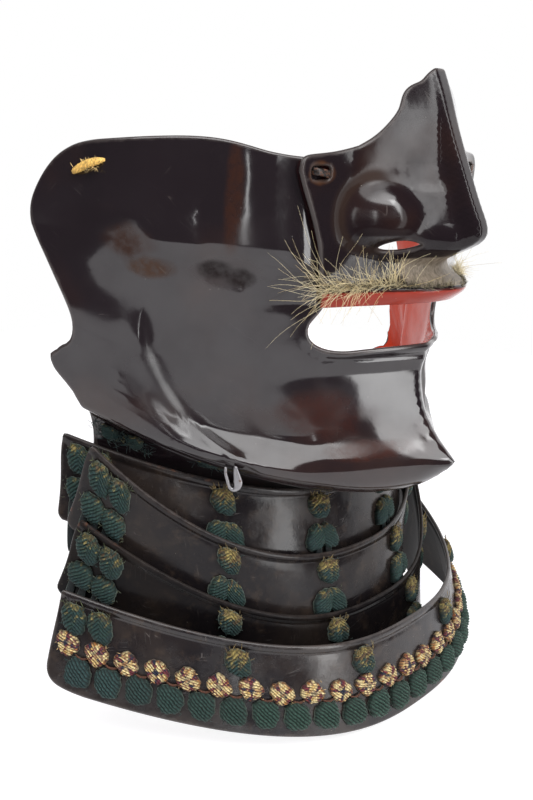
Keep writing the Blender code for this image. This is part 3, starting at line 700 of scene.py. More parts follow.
class Textile:
    """Puffy patches of braid on one wall, made together and kept as one piece."""

    def __init__(self, wall, step, seed):
        self.wall, self.step = wall, step
        self.random = np.random.default_rng(seed)
        self.places, self.heights, self.tints, self.faces = [], [], [], []
        self.count = 0

    def pad(self, a, b, half_w, half_h, height, tint, detail, pitch=1.0, lean=0.0, rake=0.75, herring=False,
            lift=0.15, square=0.45, lobes=0.0):
        """One patch, half_w by half_h about (a, b), ragged at its edge. Its ribs run at the angle rake.

        lean shears it, herring turns the ribs on one half, square rounds its corners off, lobes makes it
        four-lobed, and tint gives its colour from the place on it, darkened as painted shade in the gaps
        between ribs and towards the edge.
        """
        rows = max(8, round(detail * half_h / max(half_w, half_h)))
        columns = max(8, round(detail * half_w / max(half_w, half_h)))
        q, p = np.meshgrid(np.linspace(-1, 1, rows + 1), np.linspace(-1, 1, columns + 1), indexing="ij")
        x = p * np.sqrt(1 - square * q**2)
        y = q * np.sqrt(1 - square * p**2)
        turn = np.arctan2(y, x)
        ragged = 1
        for size, waves, start in zip((0.045, 0.03, 0.02), (3, 7, 13), self.random.uniform(0, 6.3, 3)):
            ragged = ragged + size * np.sin(waves * turn + start)
        ragged = ragged + lobes * np.cos(4 * turn + 0.6)
        wide, high = x * half_w * ragged, y * half_h * ragged
        bound = (np.abs(p) ** 6 + np.abs(q) ** 6) ** (1 / 6)
        puff = limit(1 - limit(bound) ** 3.0) ** 0.5
        slant = np.where(wide < 0, -rake, rake) if herring else rake
        wobble = 0.16 * np.sin(wide * 1.3 + self.random.uniform(0, 6)) * np.sin(high * 1.1)
        phase = (wide * np.sin(slant) + high * np.cos(slant)) / pitch + wobble
        across = (wide * np.cos(slant) - high * np.sin(slant)) / (pitch * 1.5)
        crossing = np.abs(np.sin(np.pi * (across + 0.5 * np.floor(phase))))
        rib = np.abs(np.sin(np.pi * phase)) ** 0.8 * (0.72 + 0.28 * crossing)
        rise = lift + puff * height * (0.72 + 0.28 * rib) + (puff > 0.15) * 0.12 * height * rib
        # shade is painted shade: the colour darkens in the gaps between ribs and towards the pad's edge, where
        # it meets the wall
        shade = (0.16 + 0.84 * rib**1.2) * (0.35 + 0.65 * limit(puff * 1.2))
        self.grid(a + wide + lean * high, b + high, rise, tint(x, y, rib) * shade[..., None])

    def grid(self, a, b, rise, colour):
        """Adds a grid of points on the wall, closed underneath by one face."""
        rows, columns = a.shape
        first = self.count
        index = first + np.arange(rows * columns).reshape(rows, columns)
        quads = np.stack([index[:-1, :-1], index[:-1, 1:], index[1:, 1:], index[1:, :-1]], -1).reshape(-1, 4)
        self.faces += quads.tolist()
        ring = np.concatenate([index[0, :-1], index[:-1, -1], index[-1, :0:-1], index[:0:-1, 0]])
        self.faces.append(ring[::-1].tolist())
        self.places.append(np.stack([a.ravel(), b.ravel()], -1))
        self.heights.append(rise.ravel())
        self.tints.append(colour.reshape(-1, 3))
        self.count += rows * columns

    def strand(self, path, radius, colour, flat=1.0, sides=6):
        """A round or flat cord through places (a, b, height) on the wall."""
        path = np.asarray(path, float)
        along = polyline_length(path)
        count = max(6, round(along[-1] / 0.7))
        path = curve_at(np.linspace(0, along[-1], count), along, path)
        ahead = unit(np.gradient(path, axis=0))
        aside = np.cross(ahead, [0, 0, 1.0])
        aside /= np.linalg.norm(aside, axis=1)[:, None] + 1e-9
        over = np.cross(aside, ahead)
        self.faces += tube_faces(count, sides, self.count)
        self.count += count * sides
        for i in range(count):
            end = np.sin(np.pi * limit((i + 0.35) / (count - 0.3))) ** 0.25
            for k in range(sides):
                turn = 2 * np.pi * k / sides
                p = path[i] + radius * end * (aside[i] * np.cos(turn) + over[i] * np.sin(turn) * flat)
                self.places.append(p[None, :2])
                self.heights.append(p[None, 2])
                self.tints.append((np.asarray(colour) * (0.75 + 0.25 * np.sin(3 * turn + i)))[None])

    def fuzz(self, a, b, half_w, half_h, height, count, length, colour, upward=0.0):
        """Frayed fibres round a patch."""
        for _ in range(count):
            u, v = self.random.uniform(-1, 1, 2)
            turn = self.random.uniform(0, 2 * np.pi)
            reach = length * self.random.uniform(0.4, 1.0)
            start = np.array([a + u * half_w, b + v * half_h, height * self.random.uniform(0.6, 1.0)])
            bend = np.array([np.cos(turn), np.sin(turn) + upward, self.random.uniform(0.1, 0.7)]) * reach
            tone = np.asarray(colour) * self.random.uniform(0.5, 1.3)
            self.strand([start, start + 0.5 * bend, start + bend + [0, 0, -0.25 * reach]], 0.11, tone, sides=3)

    def piece(self, name, finish):
        """All that was laid on the wall, as one mesh piece."""
        places, heights = np.concatenate(self.places), np.concatenate(self.heights)
        a, b = places[:, 0] * self.step, places[:, 1]
        points = self.wall(a, b) + heights[:, None] * normals(self.wall, a, b, 0.6 * self.step, 0.6)
        return tinted_piece(name, points, self.faces, np.concatenate(self.tints), finish)


def worn_knot(seed, fade):
    """The tint of a knot whose top has faded to straw and whose foot is dark blue-green."""
    low, mid = blend(INK, TEAL, 0.8), blend(TEAL, GREEN, 0.5)
    random = np.random.default_rng(seed)
    shift = random.uniform(-0.15, 0.15)

    def tint(x, y, rib):
        strands = threads(random, x, y, 0.9)
        speckle = random.uniform(-0.3, 0.3, x.shape) + 0.9 * (strands - 0.5)
        share = limit((y + shift + speckle - (1 - fade * 1.6)) / 0.45)
        base = blend(low, mid, limit(0.5 + 0.5 * y + speckle))
        other = threads(random, x, y, 0.4)
        worn = blend(STRAW, DUN, limit((other - 0.45) * 4))
        return base + (worn - base) * share[..., None]

    return tint


def threads(random, x, y, slant):
    """A value between 0 and 1 for each thread of a patch, the threads lying along slant."""
    table = random.uniform(0, 1, (9, 23))
    along = np.floor((x * np.cos(slant) + y * np.sin(slant)) * 2.6 + 4.5).astype(int) % 9
    across = np.floor((y * np.cos(slant) - x * np.sin(slant)) * 7.5 + 11.5).astype(int) % 23
    return table[along, across]


def rosette(seed, ringed):
    """The tint of a multicolour knot: four pale lobes, dark wine and blue threads between them, a worn edge."""
    random = np.random.default_rng(seed)
    turned = random.uniform(-0.3, 0.3) + (0.8 if ringed else 0.0)

    def tint(x, y, rib):
        far = np.hypot(x, y)
        angle = np.arctan2(y, x) + turned
        thread, other = threads(random, x, y, 0.7), threads(random, x, y, 2.2)
        grain = random.uniform(0, 1, x.shape)
        colour = blend(CREAM, OCHRE, limit(thread * 1.8 - 0.9))
        lobe = np.abs(np.cos(2 * angle)) + 0.9 * (thread - 0.5)
        gap = limit((0.52 - lobe) / 0.12) * limit((far - 0.12) / 0.15)
        heart = limit((0.30 + 0.15 * (grain - 0.5) - far) / 0.08) * (1.0 if ringed else 0.6)
        stray = (other > 0.80) * limit((far - 0.3) / 0.2)
        rim = limit((far - 0.88 + 0.5 * (thread - 0.5)) / 0.12)
        for over, share in (
            (blend(WINE, NAVY, (other > 0.45) * 1.0), gap),
            (blend(NAVY, WINE, (thread > 0.6) * 1.0), heart),
            (np.asarray(WINE), 0.85 * stray),
            (blend(ORANGE, SOOT, limit(other * 2 - 0.6)), 0.8 * rim),
        ):
            colour = colour + (over - colour) * share[..., None]
        return colour

    return tint


def lacing(number, column, side, finish, seed):
    """One column's braid on one lame: the upper knot, and above the next lame the double lower knot."""
    level, reach = LAME_ROWS[number - 1][1].level, lame_reach(number)
    textile = Textile(lame_wall(number), 1 / reach, seed)
    a = side * (column.share + column.drift * (number - 1)) * reach
    upper, lower = level * (1 - UPPER_KNOT), level * (1 - LOWER_KNOT)
    rear = column.name.startswith("rear")
    wide, high, lean, fade = (4.6, 5.1, 0.1, 0.22) if rear else (4.5, 4.9, 0.05, 0.62)
    textile.pad(a, upper, wide, high, 2.6, worn_knot(seed, fade), 36, lean=side * lean, herring=True)
    frayed = blend(STRAW, GREEN, 0.8) if rear else blend(STRAW, WINE, 0.25)
    textile.fuzz(a, upper + 3.4, 4.0, 1.8, 2.0, 34, 2.0, frayed, 0.5)
    textile.fuzz(a, upper, 4.4, 4.4, 1.6, 30, 1.5, TEAL)
    if number < 4:
        if rear:
            textile.pad(a, lower, 4.8, 4.6, 2.4, worn_knot(seed + 1, 0.06), 34, rake=side * 0.8)
        else:
            for half in (-1, 1):
                tint = worn_knot(seed + 2 + half, 0.12)
                place = a + half * 2.9, lower - 1.6
                textile.pad(*place, 3.7, 5.2, 2.7, tint, 34, rake=half * 0.8, lean=-half * 0.2)
        textile.fuzz(a, lower, 5.4, 3.4, 1.8, 34, 1.5, blend(STRAW, TEAL, 0.75))
        # the braid's legs down behind the next lame, coloured near black as painted shade
        for aside in (-2.1, 2.1):
            hanger = ((lower - 2, 1.0), (3.0, 1.0), (-3.0, 1.4), (-9.0, 2.0))
            path = [(a + aside, b, height) for b, height in hanger]
            textile.strand(path, 1.5, SHADOW, flat=0.3, sides=8)
    return textile.piece(f"lace_{number}_{column.name}_{SIDE_NAMES[side]}", finish)


def neck_lacing(column, side, finish, seed):
    """Short frayed braid on the mask's neck flange."""
    textile = Textile(mask_wall, 1.0, seed)
    a, b = side * column.neck_a, column.neck_b
    textile.pad(a, b, 3.2, 2.9, 1.2, worn_knot(seed, 0.2), 18, pitch=0.85, rake=0.9, herring=True, lift=0.2)
    textile.fuzz(a, b, 6.0, 3.0, 1.0, 90, 3.2, blend(INK, TEAL, 0.75))
    textile.fuzz(a, b, 5.5, 2.6, 1.0, 8, 2.4, STRAW)
    return textile.piece(f"lace_0_{column.name}_{SIDE_NAMES[side]}", finish)


def hem_places():
    """The stitches' distances round the lowest lame, and that lame's reach."""
    reach = lame_reach(4)
    pitch = 2 * HEM_REACH / HEM_COUNT
    return [((i + 0.5) * pitch - HEM_REACH) * reach for i in range(HEM_COUNT)], reach


def hem_rosettes(finish):
    """The row of multicolour knots, with a slack strand from each to the next."""
    places, reach = hem_places()
    textile = Textile(lame_wall(4), 1 / reach, 31)
    for i, a in enumerate(places):
        b = ROSETTE_LEVEL + textile.random.uniform(-0.4, 0.4)
        tint, rake = rosette(i, i % 3 == 0), 0.2 + 0.5 * (i % 2)
        textile.pad(a, b, 4.2, 4.1, 2.0, tint, 40, pitch=0.9, rake=rake, square=0.5, lobes=0.05)
        textile.fuzz(a, b, 3.7, 3.7, 1.5, 14, 1.3, blend(CREAM, ORANGE, 0.4))
    high, low = ROSETTE_LEVEL - 2.6, ROSETTE_LEVEL - 3.4
    for a, b in zip(places, places[1:]):
        loop = [(a + 3, high, 0.5), ((a + b) / 2, low, 0.9), (b - 3, high, 0.5)]
        textile.strand(loop, 0.45, RUSSET)
    return textile.piece("hem_rosette_row", finish)


def hem_braid(finish):
    """The row of green pads under the rosettes."""
    places, reach = hem_places()
    textile = Textile(lame_wall(4), 1 / reach, 47)
    aside = 0.42 * (places[1] - places[0])
    for a in places:
        b = BRAID_LEVEL + textile.random.uniform(-0.3, 0.3)
        green = blend(blend(GREEN, TEAL, 0.35), blend(INK, TEAL, 0.5), limit(abs(a) / reach * 1.5 - 0.7))
        tone = green * textile.random.uniform(0.85, 1.15)

        # painted shade and highlight: each pad's tone is darker in the gaps between ribs and lighter on the rib
        # tops
        def tint(x, y, rib, tone=tone):
            return blend(tone * 0.6, tone * 1.35 + 0.006, rib)

        place = a + aside * (a < places[-1])
        textile.pad(place, b, 4.55, 5.0, 3.0, tint, 44, pitch=1.05, lean=0.06, square=0.40)
        textile.fuzz(a + aside, b, 4.2, 4.6, 2.0, 16, 1.2, TEAL)
    return textile.piece("hem_pad_row", finish)


def tube(path, radii, sides):
    """Points and faces of a closed tube along a path."""
    ahead = unit(np.gradient(path, axis=0))
    aside = unit(np.cross(ahead, [0.31, 0.52, 0.79]))
    over = np.cross(ahead, aside)
    ring = circle(sides)[None, :, :, None]
    ring = aside[:, None] * ring[:, :, 0] + over[:, None] * ring[:, :, 1]
    points = (path[:, None] + ring * np.asarray(radii)[:, None, None]).reshape(-1, 3)
    return points, tube_faces(len(path), sides)


HAIR_ROOTS = ((3.0, 53.8), (10.0, 54.2), (17.0, 54.8), (24.0, 55.4), (31.0, 54.6), (36.5, 54.0))
Bunch = namedtuple("Bunch", "count place spread length vary out rearward upward curl radius tone")
BUNCHES = (
    Bunch(70, 0.84, 0.10, 12.0, 4.0, 0.40, 1.1, 0.10, 2.2, 0.072, 1.0),
    Bunch(210, 0.66, 0.12, 6.0, 2.2, 0.45, 0.9, 0.10, 3.0, 0.075, 1.0),
    Bunch(34, 0.90, 0.08, 22.0, 5.0, 0.30, 0.9, 0.45, 1.5, 0.060, 1.0),
    Bunch(38, 0.50, 0.04, 10.0, 2.5, 0.35, 0.05, 1.2, 0.9, 0.085, 1.0),
    Bunch(50, 0.22, 0.16, 2.6, 0.8, 0.9, 0.2, 0.3, 1.5, 0.09, 0.40),
    Bunch(230, 0.50, 0.30, 2.2, 0.8, 0.9, 0.1, 0.4, 1.2, 0.13, 0.12),
)
TUFT = BUNCHES[3]  # stands up in the middle of the right half only
LEFT_TUFT_LENGTH = 3.0
LEFT_LENGTH = 0.4  # the left half's hairs are this share as long
HAIR_POINTS, HAIR_SIDES = 10, 4


def hair_path(random, base, normal, back, bunch, side):
    """One hair from its root, swept to the rear, bent and a little wavy."""
    way = bunch.out * normal * random.uniform(0.4, 1.3) + bunch.rearward * back * random.uniform(0.5, 1.2)
    way = way + np.array([0, 0, bunch.upward * random.uniform(-0.2, 1.3)]) + random.normal(0, 0.30, 3)
    way[2] = max(way[2], -0.05)
    way = unit(way)
    length = LEFT_TUFT_LENGTH if side > 0 and bunch is TUFT else bunch.length
    size = max(1.5, random.normal(length, bunch.vary)) * (1.0 if side < 0 else LEFT_LENGTH)
    bend = unit(np.cross(way, random.normal(0, 1, 3)))
    sway = np.cross(way, bend) * random.uniform(-0.35, 0.35)
    bend = bunch.curl * random.uniform(0.2, 1.0) * bend + np.array([0, 0, -0.12])
    t = np.linspace(0, 1, HAIR_POINTS)[:, None]
    wave = 0.25 * bunch.curl * np.sin(4.5 * t) * sway
    return base - 0.3 * normal + size * (t * way + 0.5 * t**2 * bend + wave)


def hairs(side, finish, seed):
    """Stiff bristles rooted along the top of the lip, thick in the middle of the half and swept to the rear."""
    random = np.random.default_rng(seed)
    line = smooth_curve(HAIR_ROOTS, 0.5)
    fade = limit(0.45 + np.repeat(np.linspace(0, 1, HAIR_POINTS), HAIR_SIDES) * 1.2)
    taper = np.linspace(1.0, 0.4, HAIR_POINTS)
    points, faces, tints = [], [], []
    for bunch in BUNCHES:
        share = np.clip(random.normal(bunch.place, bunch.spread, bunch.count), 0.01, 0.99)
        roots = line[(share * (len(line) - 1)).astype(int)]
        a = side * (roots[:, 0] + random.uniform(-0.4, 0.4, bunch.count))
        b = roots[:, 1] + random.uniform(-0.9, 0.9, bunch.count)
        base = nose_detail_wall(a, b)
        normal = normals(nose_detail_wall, a, b, 0.6, 0.6)
        back = unit(nose_detail_wall(a + side * 1.0, b) - base)
        for i in range(bunch.count):
            path = hair_path(random, base[i], normal[i], back[i], bunch, side)
            hair, quads = tube(path, bunch.radius * taper, HAIR_SIDES)
            first = len(points) * len(hair)
            points.append(hair)
            faces += [[v + first for v in f] for f in quads]
            straw = blend(PALE_HAIR, DARK_HAIR, random.uniform(0, 1) ** 2) * bunch.tone
            tints.append(straw * fade[:, None])
    name = f"bristles_{SIDE_NAMES[side]}"
    return tinted_piece(name, np.concatenate(points), faces, np.concatenate(tints), finish)


def bar(name, path, outs, halves, heights, finish):
    """A closed forged bar: a rounded rectangle, halves wide and heights tall, along a path."""
    sides, square = 12, 3.0
    path, outs = np.asarray(path, float), np.asarray(outs, float)
    along = polyline_length(path)
    count = max(8, round(along[-1] / 0.35))
    t = np.linspace(0, along[-1], count)
    centre = curve_at(t, along, path)
    over = np.stack([np.interp(t, along, outs[:, i]) for i in range(3)], -1)
    half, height = np.interp(t, along, halves), np.interp(t, along, heights)
    ahead = unit(np.gradient(centre, axis=0))
    across = unit(np.cross(ahead, over))
    over = np.cross(across, ahead)
    end = limit(np.minimum(t, along[-1] - t) / 0.5)
    close = 0.35 + 0.65 * np.sqrt(1 - (1 - end) ** 2)
    points = []
    for i in range(count):
        for c, s in circle(sides):
            size = (abs(c) ** square + abs(s) ** square) ** (-1 / square)
            points.append(centre[i] + close[i] * size * (across[i] * half[i] * c + over[i] * height[i] / 2 * s))
    return as_piece(name, points, tube_faces(count, sides), [finish])


# The staple's way through the slot: across, out and up. The hook's way: across and up.
PEG_ROUTE = (
    (-2.5, -2.4, -0.5), (-2.5, -1.0, -0.4), (-2.2, 0.2, -0.3), (-0.8, 0.55, 0.0), (0.9, 0.55, 0.3),
    (2.3, 0.1, 0.5), (2.7, -1.4, 0.5),
)  # fmt: skip
PEG_HEIGHTS = (2.3, 2.3, 2.3, 2.2, 2.2, 2.3, 2.3)
HOOK_ROUTE = (
    (-1.2, 4.6), (-1.5, 2.2), (-2.0, -0.8), (-1.7, -2.6), (-0.4, -3.5), (0.8, -2.6), (1.4, -0.6), (2.0, 1.8),
    (2.0, 4.2),
)  # fmt: skip
HOOK_HALVES = (0.6, 1.0, 1.5, 1.1, 0.6, 0.55, 0.55, 0.5, 0.5)
STITCH_ROUTE = ((106.3, 96.6), (109.0, 95.8), (112.5, 94.6), (116.0, 93.1), (118.6, 92.0))


def place_and_normal(wall, a, b):
    """A point of a wall and the outward direction there."""
    a, b = np.array([a]), np.array([b])
    return wall(a, b)[0], normals(wall, a, b, 1.0, 1.0)[0]


def nose_peg(side, finish):
    """The staple through a wing's slot."""
    place, out = place_and_normal(nose_wall, side * SLOT[0], SLOT[1])
    across = unit(np.cross([0, 0, 1.0], out))
    path = [place + 0.4 * out + across * x * side + out * r + [0, 0, z] for x, r, z in PEG_ROUTE]
    outs, halves = [[0, 0, 1.0]] * len(path), [0.6] * len(path)
    return bar(f"staple_peg_{SIDE_NAMES[side]}", path, outs, halves, PEG_HEIGHTS, finish)


def cord_hook(side, finish):
    """The bent wire loop under the jaw."""
    place, out = place_and_normal(mask_wall, side * 70.0, -7.5)
    top = place + 1.0 * out - [0, 0, 3.6]
    out = unit(out * [1, 1, 0])
    across = np.cross([0, 0, 1.0], out) * side
    path = [top + across * x + [0, 0, z] for x, z in HOOK_ROUTE]
    outs, heights = [out] * len(path), [0.9] * len(path)
    return bar(f"wire_hook_{SIDE_NAMES[side]}", path, outs, HOOK_HALVES, heights, finish)


def cheek_cord(side, finish):
    """A short stitch of three twisted plies."""
    textile = Textile(mask_wall, 1.0, 5)
    t = np.linspace(0, 1, 60)
    line = curve_at(t * 4, np.arange(5), STITCH_ROUTE)
    for ply in range(3):
        turn = 2 * np.pi * (ply / 3 + t * 4.2)
        swell = 0.62 * np.sin(np.pi * limit(t * 1.1 - 0.05)) ** 0.4
        height = 2.2 * np.sin(np.pi * t) ** 0.45 - 0.9 + swell * np.sin(turn)
        aside = 1.25 * swell * np.cos(turn)
        path = np.stack([side * (line[:, 0] + 0.4 * aside), line[:, 1] + aside, height], -1)
        textile.strand(path[::3], 0.85, GOLD, sides=7, flat=0.9)
    textile.fuzz(side * 112, 94.5, 5.0, 1.6, 1.8, 40, 2.0, PALE_GOLD)
    return textile.piece(f"gold_stitch_{SIDE_NAMES[side]}", finish)


# ---------------------------------------------------------------- materials


class Finish:
    """A node material, built up a node at a time, whose colour is laid on in layers."""

    def __init__(self, name, roughness, ior=1.5, **fixed):
        self.material = bpy.data.materials.new(name)
        self.material.use_nodes = True
        self.tree = self.material.node_tree
        self.shader = self.tree.nodes["Principled BSDF"]
        for socket, value in {"Roughness": roughness, "IOR": ior, **fixed}.items():
            self.shader.inputs[socket.replace("_", " ")].default_value = value
        self.space = self.node("TexCoord", {}, "Object")
        self.colour = None

    def node(self, kind, inputs, output=0, **settings):
        """A shader node's output, with its inputs set or linked."""
        made = self.tree.nodes.new("ShaderNode" + kind)
        for key, value in settings.items():
            setattr(made, key, value)
        for socket, value in inputs.items():
            if isinstance(value, bpy.types.NodeSocket):
                self.tree.links.new(value, made.inputs[socket])
            else:
                made.inputs[socket].default_value = value
        return made.outputs[output]

    def field(self, name, output="Vector"):
        """A named field of the mesh."""
        return self.node("Attribute", {}, output, attribute_name=name)

    def math(self, operation, x, y=0.0, z=0.0):
        return self.node("Math", {0: x, 1: y, 2: z}, operation=operation)

    def times(self, x, y, plus=None):
        """x times y, and plus what is given."""
        return self.math("MULTIPLY", x, y) if plus is None else self.math("MULTIPLY_ADD", x, y, plus)

    def most(self, x, y):
        return self.math("MAXIMUM", x, y)

    def part(self, vector, axis):
        """One coordinate of a vector."""
        return self.node("SeparateXYZ", {0: vector}, axis)

    def grey(self, value):
        return self.node("CombineXYZ", {0: value, 1: value, 2: value})

    def scaled(self, vector, scale):
        return self.node("VectorMath", {0: vector, 1: scale}, operation="MULTIPLY")

    def noise(self, scale, detail=2.0, roughness=0.5, vector=None):
        vector = self.space if vector is None else vector
        inputs = {"Vector": vector, "Scale": scale, "Detail": detail, "Roughness": roughness}
        return self.node("TexNoise", inputs, "Fac")

    def cells(self, vector, scale, feature="F1"):
        """The distance to the nearest of scattered points or of the edges between them."""
        return self.node("TexVoronoi", {"Vector": vector, "Scale": scale}, "Distance", feature=feature)

    def ramp(self, value, low, high, start=0.0, end=1.0):
        """Goes smoothly from start to end while value goes from low to high."""
        inputs = {"Value": value, "From Min": low, "From Max": high, "To Min": start, "To Max": end}
        return self.node("MapRange", inputs, interpolation_type="SMOOTHSTEP")

    def mix(self, share, first, second):
        """The first colour where share is 0 and the second where it is 1."""
        fix = {}
        for socket, value in ((6, first), (7, second)):
            fix[socket] = value if isinstance(value, bpy.types.NodeSocket) else (*value, 1.0)
        return self.node("Mix", {0: share, **fix}, 2, data_type="RGBA")

    def over(self, share, colour):
        """Lays a colour over what is there, as thick as share."""
        self.colour = self.mix(share, self.colour, colour)

    def link(self, socket, value):
        self.tree.links.new(value, self.shader.inputs[socket])

    def done(self, rough, *bumps):
        """The material with its colour and roughness, and bumps, each a height and a distance in metres."""
        self.link("Base Color", self.colour)
        if rough is not None:
            self.link("Roughness", rough)
        normal = {}
        for height, distance in bumps:
            inputs = {"Height": height, "Distance": distance, "Strength": 1.0, **normal}
            normal = {"Normal": self.node("Bump", inputs)}
        if normal:
            self.link("Normal", normal["Normal"])
        return self.material

    def spot(self, place, a, b, half_a, half_b, noise):
        """A soft blot about one place on a wall."""
        x = self.times(self.part(place, 0), 1 / half_a, -a / half_a)
        y = self.times(self.part(place, 1), 1 / half_b, -b / half_b)
        square = self.times(x, x, self.times(y, y))
        wavy = self.times(noise, 1.2, self.math("SUBTRACT", square, 0.6))
        return self.ramp(wavy, 0.1, 1.4, 1.0, 0.0)

    def scratches(self, place, scale, width, seed):
        """Thin lines here and there, mostly along one direction."""
        turned = self.node("VectorRotate", {"Vector": place, "Angle": 0.7 * seed}, rotation_type="Z_AXIS")
        long = self.scaled(turned, (0.08, 1.0, 0.0))
        line = self.ramp(self.cells(long, scale, "DISTANCE_TO_EDGE"), 0.0, width, 1.0, 0.0)
        here = self.ramp(self.noise(0.06 * (1 + 0.2 * seed), vector=turned), 0.60, 0.70)
        return self.times(line, here)

    def dust(self, place, size):
        """Pale specks scattered over a surface."""
        speck = self.ramp(self.cells(place, 0.32), 0.0, size, 1.0, 0.0)
        return self.times(speck, self.ramp(self.noise(0.06, vector=place), 0.50, 0.66))


def lacquer(name, spots=(), dull=(), nose=False):
    """Old black lacquer: near black, brown where it thins, rubbed at the edges, scratched and dusty."""
    finish = Finish(name, 0.14, 1.62, Specular_IOR_Level=0.5)
    place = finish.field("place")
    cloud = finish.ramp(finish.noise(26.0, 3.0, 0.55), 0.45, 0.75)
    finish.colour = finish.mix(cloud, (0.0105, 0.0070, 0.0085), (0.022, 0.0105, 0.0085))
    gloss = finish.ramp(finish.noise(70.0, 4.0, 0.6), 0.3, 0.75, 0.54, 0.46)
    # Each spot lays its tone over the lacquer and cuts its shine; most are wear or rust, and some are a painted
    # dark reflection.
    for *oval, strength, tone in spots:
        mottle = finish.ramp(finish.noise(420.0, 3.0, 0.6), 0.30, 0.65, 0.60, 1.0)
        blot = finish.times(finish.spot(place, *oval, finish.noise(160.0, 3.0)), mottle)
        finish.over(finish.times(blot, strength), tone)
        gloss = finish.times(blot, -0.36 * strength, gloss)
    edge = finish.times(finish.noise(240.0, 3.0), 1.7, finish.part(place, 2))
    worn = finish.ramp(edge, 0.25, 1.5, 1.0, 0.0)
    finish.over(finish.times(worn, 0.6), (0.075, 0.062, 0.058))
    lines = finish.most(finish.scratches(place, 0.30, 0.008, 1), finish.scratches(place, 0.22, 0.006, 3))
    finish.over(finish.times(lines, 0.25), (0.12, 0.10, 0.09))
    rough = finish.ramp(finish.noise(55.0, 3.0), 0.35, 0.8, 0.09, 0.19)
    for *oval, strength in dull:
        rough = finish.times(finish.spot(place, *oval, finish.noise(130.0, 4.0, 0.6)), strength, rough)
    if nose:
        gloss, rough = nose_paint(finish, place, gloss, rough)
    specks = finish.dust(place, 0.055)
    finish.over(specks, (0.34, 0.32, 0.30))
    rough = finish.times(worn, 0.12, rough)
    rough = finish.times(finish.most(lines, specks), 0.12, rough)
    finish.link("Specular IOR Level", gloss)
    return finish.done(rough, (finish.noise(34.0), 0.0006), (finish.noise(420.0), 0.000012), (specks, 0.00003))


def nose_paint(finish, place, gloss, rough):
    """The red lip, the bare taupe of the philtrum and, as a painted highlight, a dim brownish ring round each
    nostril's bulge.
    """
    beside, height = finish.math("ABSOLUTE", finish.part(place, 0)), finish.part(place, 1)
    level = finish.times(finish.noise(300.0), 0.8, height)
    red = finish.mix(finish.noise(120.0, 3.0), (0.23, 0.028, 0.018), (0.32, 0.046, 0.030))
    lined = finish.mix(finish.ramp(level, 52.0, 52.7), red, (0.045, 0.012, 0.010))
    finish.colour = finish.mix(finish.ramp(level, 53.2, 53.7), lined, finish.colour)
    centre_a, centre_b, wide, high = CREASE
    x = finish.times(beside, 1 / wide, -centre_a / wide)
    y = finish.times(height, 1 / high, -centre_b / high)
    square = finish.times(x, x, finish.times(y, y))
    ring = finish.times(finish.ramp(square, 0.95, 1.35), finish.ramp(square, 1.6, 2.6, 1.0, 0.0))
    ring = finish.times(ring, finish.ramp(beside, 15.0, 24.0))
    # painted highlight: the crease round the bulge is lightened to a dim brown, and its shine is cut further
    # down
    finish.over(finish.times(ring, 0.30), (0.050, 0.032, 0.022))
    front = finish.ramp(beside, 20.0, 22.0, 1.0, 0.0)
    under = finish.ramp(height, 80.0, 83.0, 1.0, 0.0)
    calm = finish.times(finish.ramp(square, 0.7, 1.1, 1.0, 0.0), finish.most(front, under))
    calm = finish.times(calm, finish.ramp(height, 75.5, 77.0))
    gloss = finish.times(gloss, finish.ramp(finish.noise(90.0, 4.0, 0.65), 0.3, 0.75, 0.47, 0.31))
    gloss = finish.times(finish.ramp(square, 0.25, 0.7, 1.0, 0.0), 0.34, gloss)
    gloss = finish.times(gloss, finish.ramp(finish.most(ring, calm), 0.0, 1.0, 1.0, 0.12))
    gloss = finish.times(gloss, finish.ramp(level, 53.0, 53.8, 0.6, 1.0))
    low = finish.ramp(level, 54.2, 54.8)
    top = finish.ramp(finish.times(beside, 0.06, level), 66.2, 67.6, 1.0, 0.0)
    inner = finish.ramp(finish.times(finish.noise(900.0, 3.0, 0.6), 3.0, beside), 14.6, 17.0, 1.0, 0.0)
    bare = finish.times(finish.times(low, top), inner)
    grain = finish.noise(1.0, 3.0, 0.65, finish.scaled(place, (2.2, 0.18, 1.0)))
    finish.over(bare, finish.mix(finish.ramp(grain, 0.3, 0.7), (0.100, 0.080, 0.058), (0.25, 0.205, 0.155)))
    return gloss, finish.times(bare, 0.42, rough)


def red_lacquer(name):
    """The red of the inside, rubbed and scratched."""
    finish = Finish(name, 0.22, 1.07)
    place = finish.field("place")
    finish.colour = finish.mix(finish.noise(60.0, 4.0, 0.6), (0.40, 0.036, 0.018), (0.54, 0.066, 0.032))
    rubbed = finish.ramp(finish.noise(140.0, 5.0, 0.7), 0.60, 0.78)
    finish.over(finish.times(rubbed, 0.6), (0.20, 0.030, 0.020))
    finish.over(finish.times(finish.scratches(place, 0.28, 0.012, 2), 0.5), (0.22, 0.035, 0.022))
    rough = finish.ramp(finish.noise(80.0, 3.0), 0.3, 0.8, 0.10, 0.26)
    return finish.done(rough, (finish.noise(70.0, 3.0), 0.0003), (finish.noise(700.0, 3.0), 0.00002))


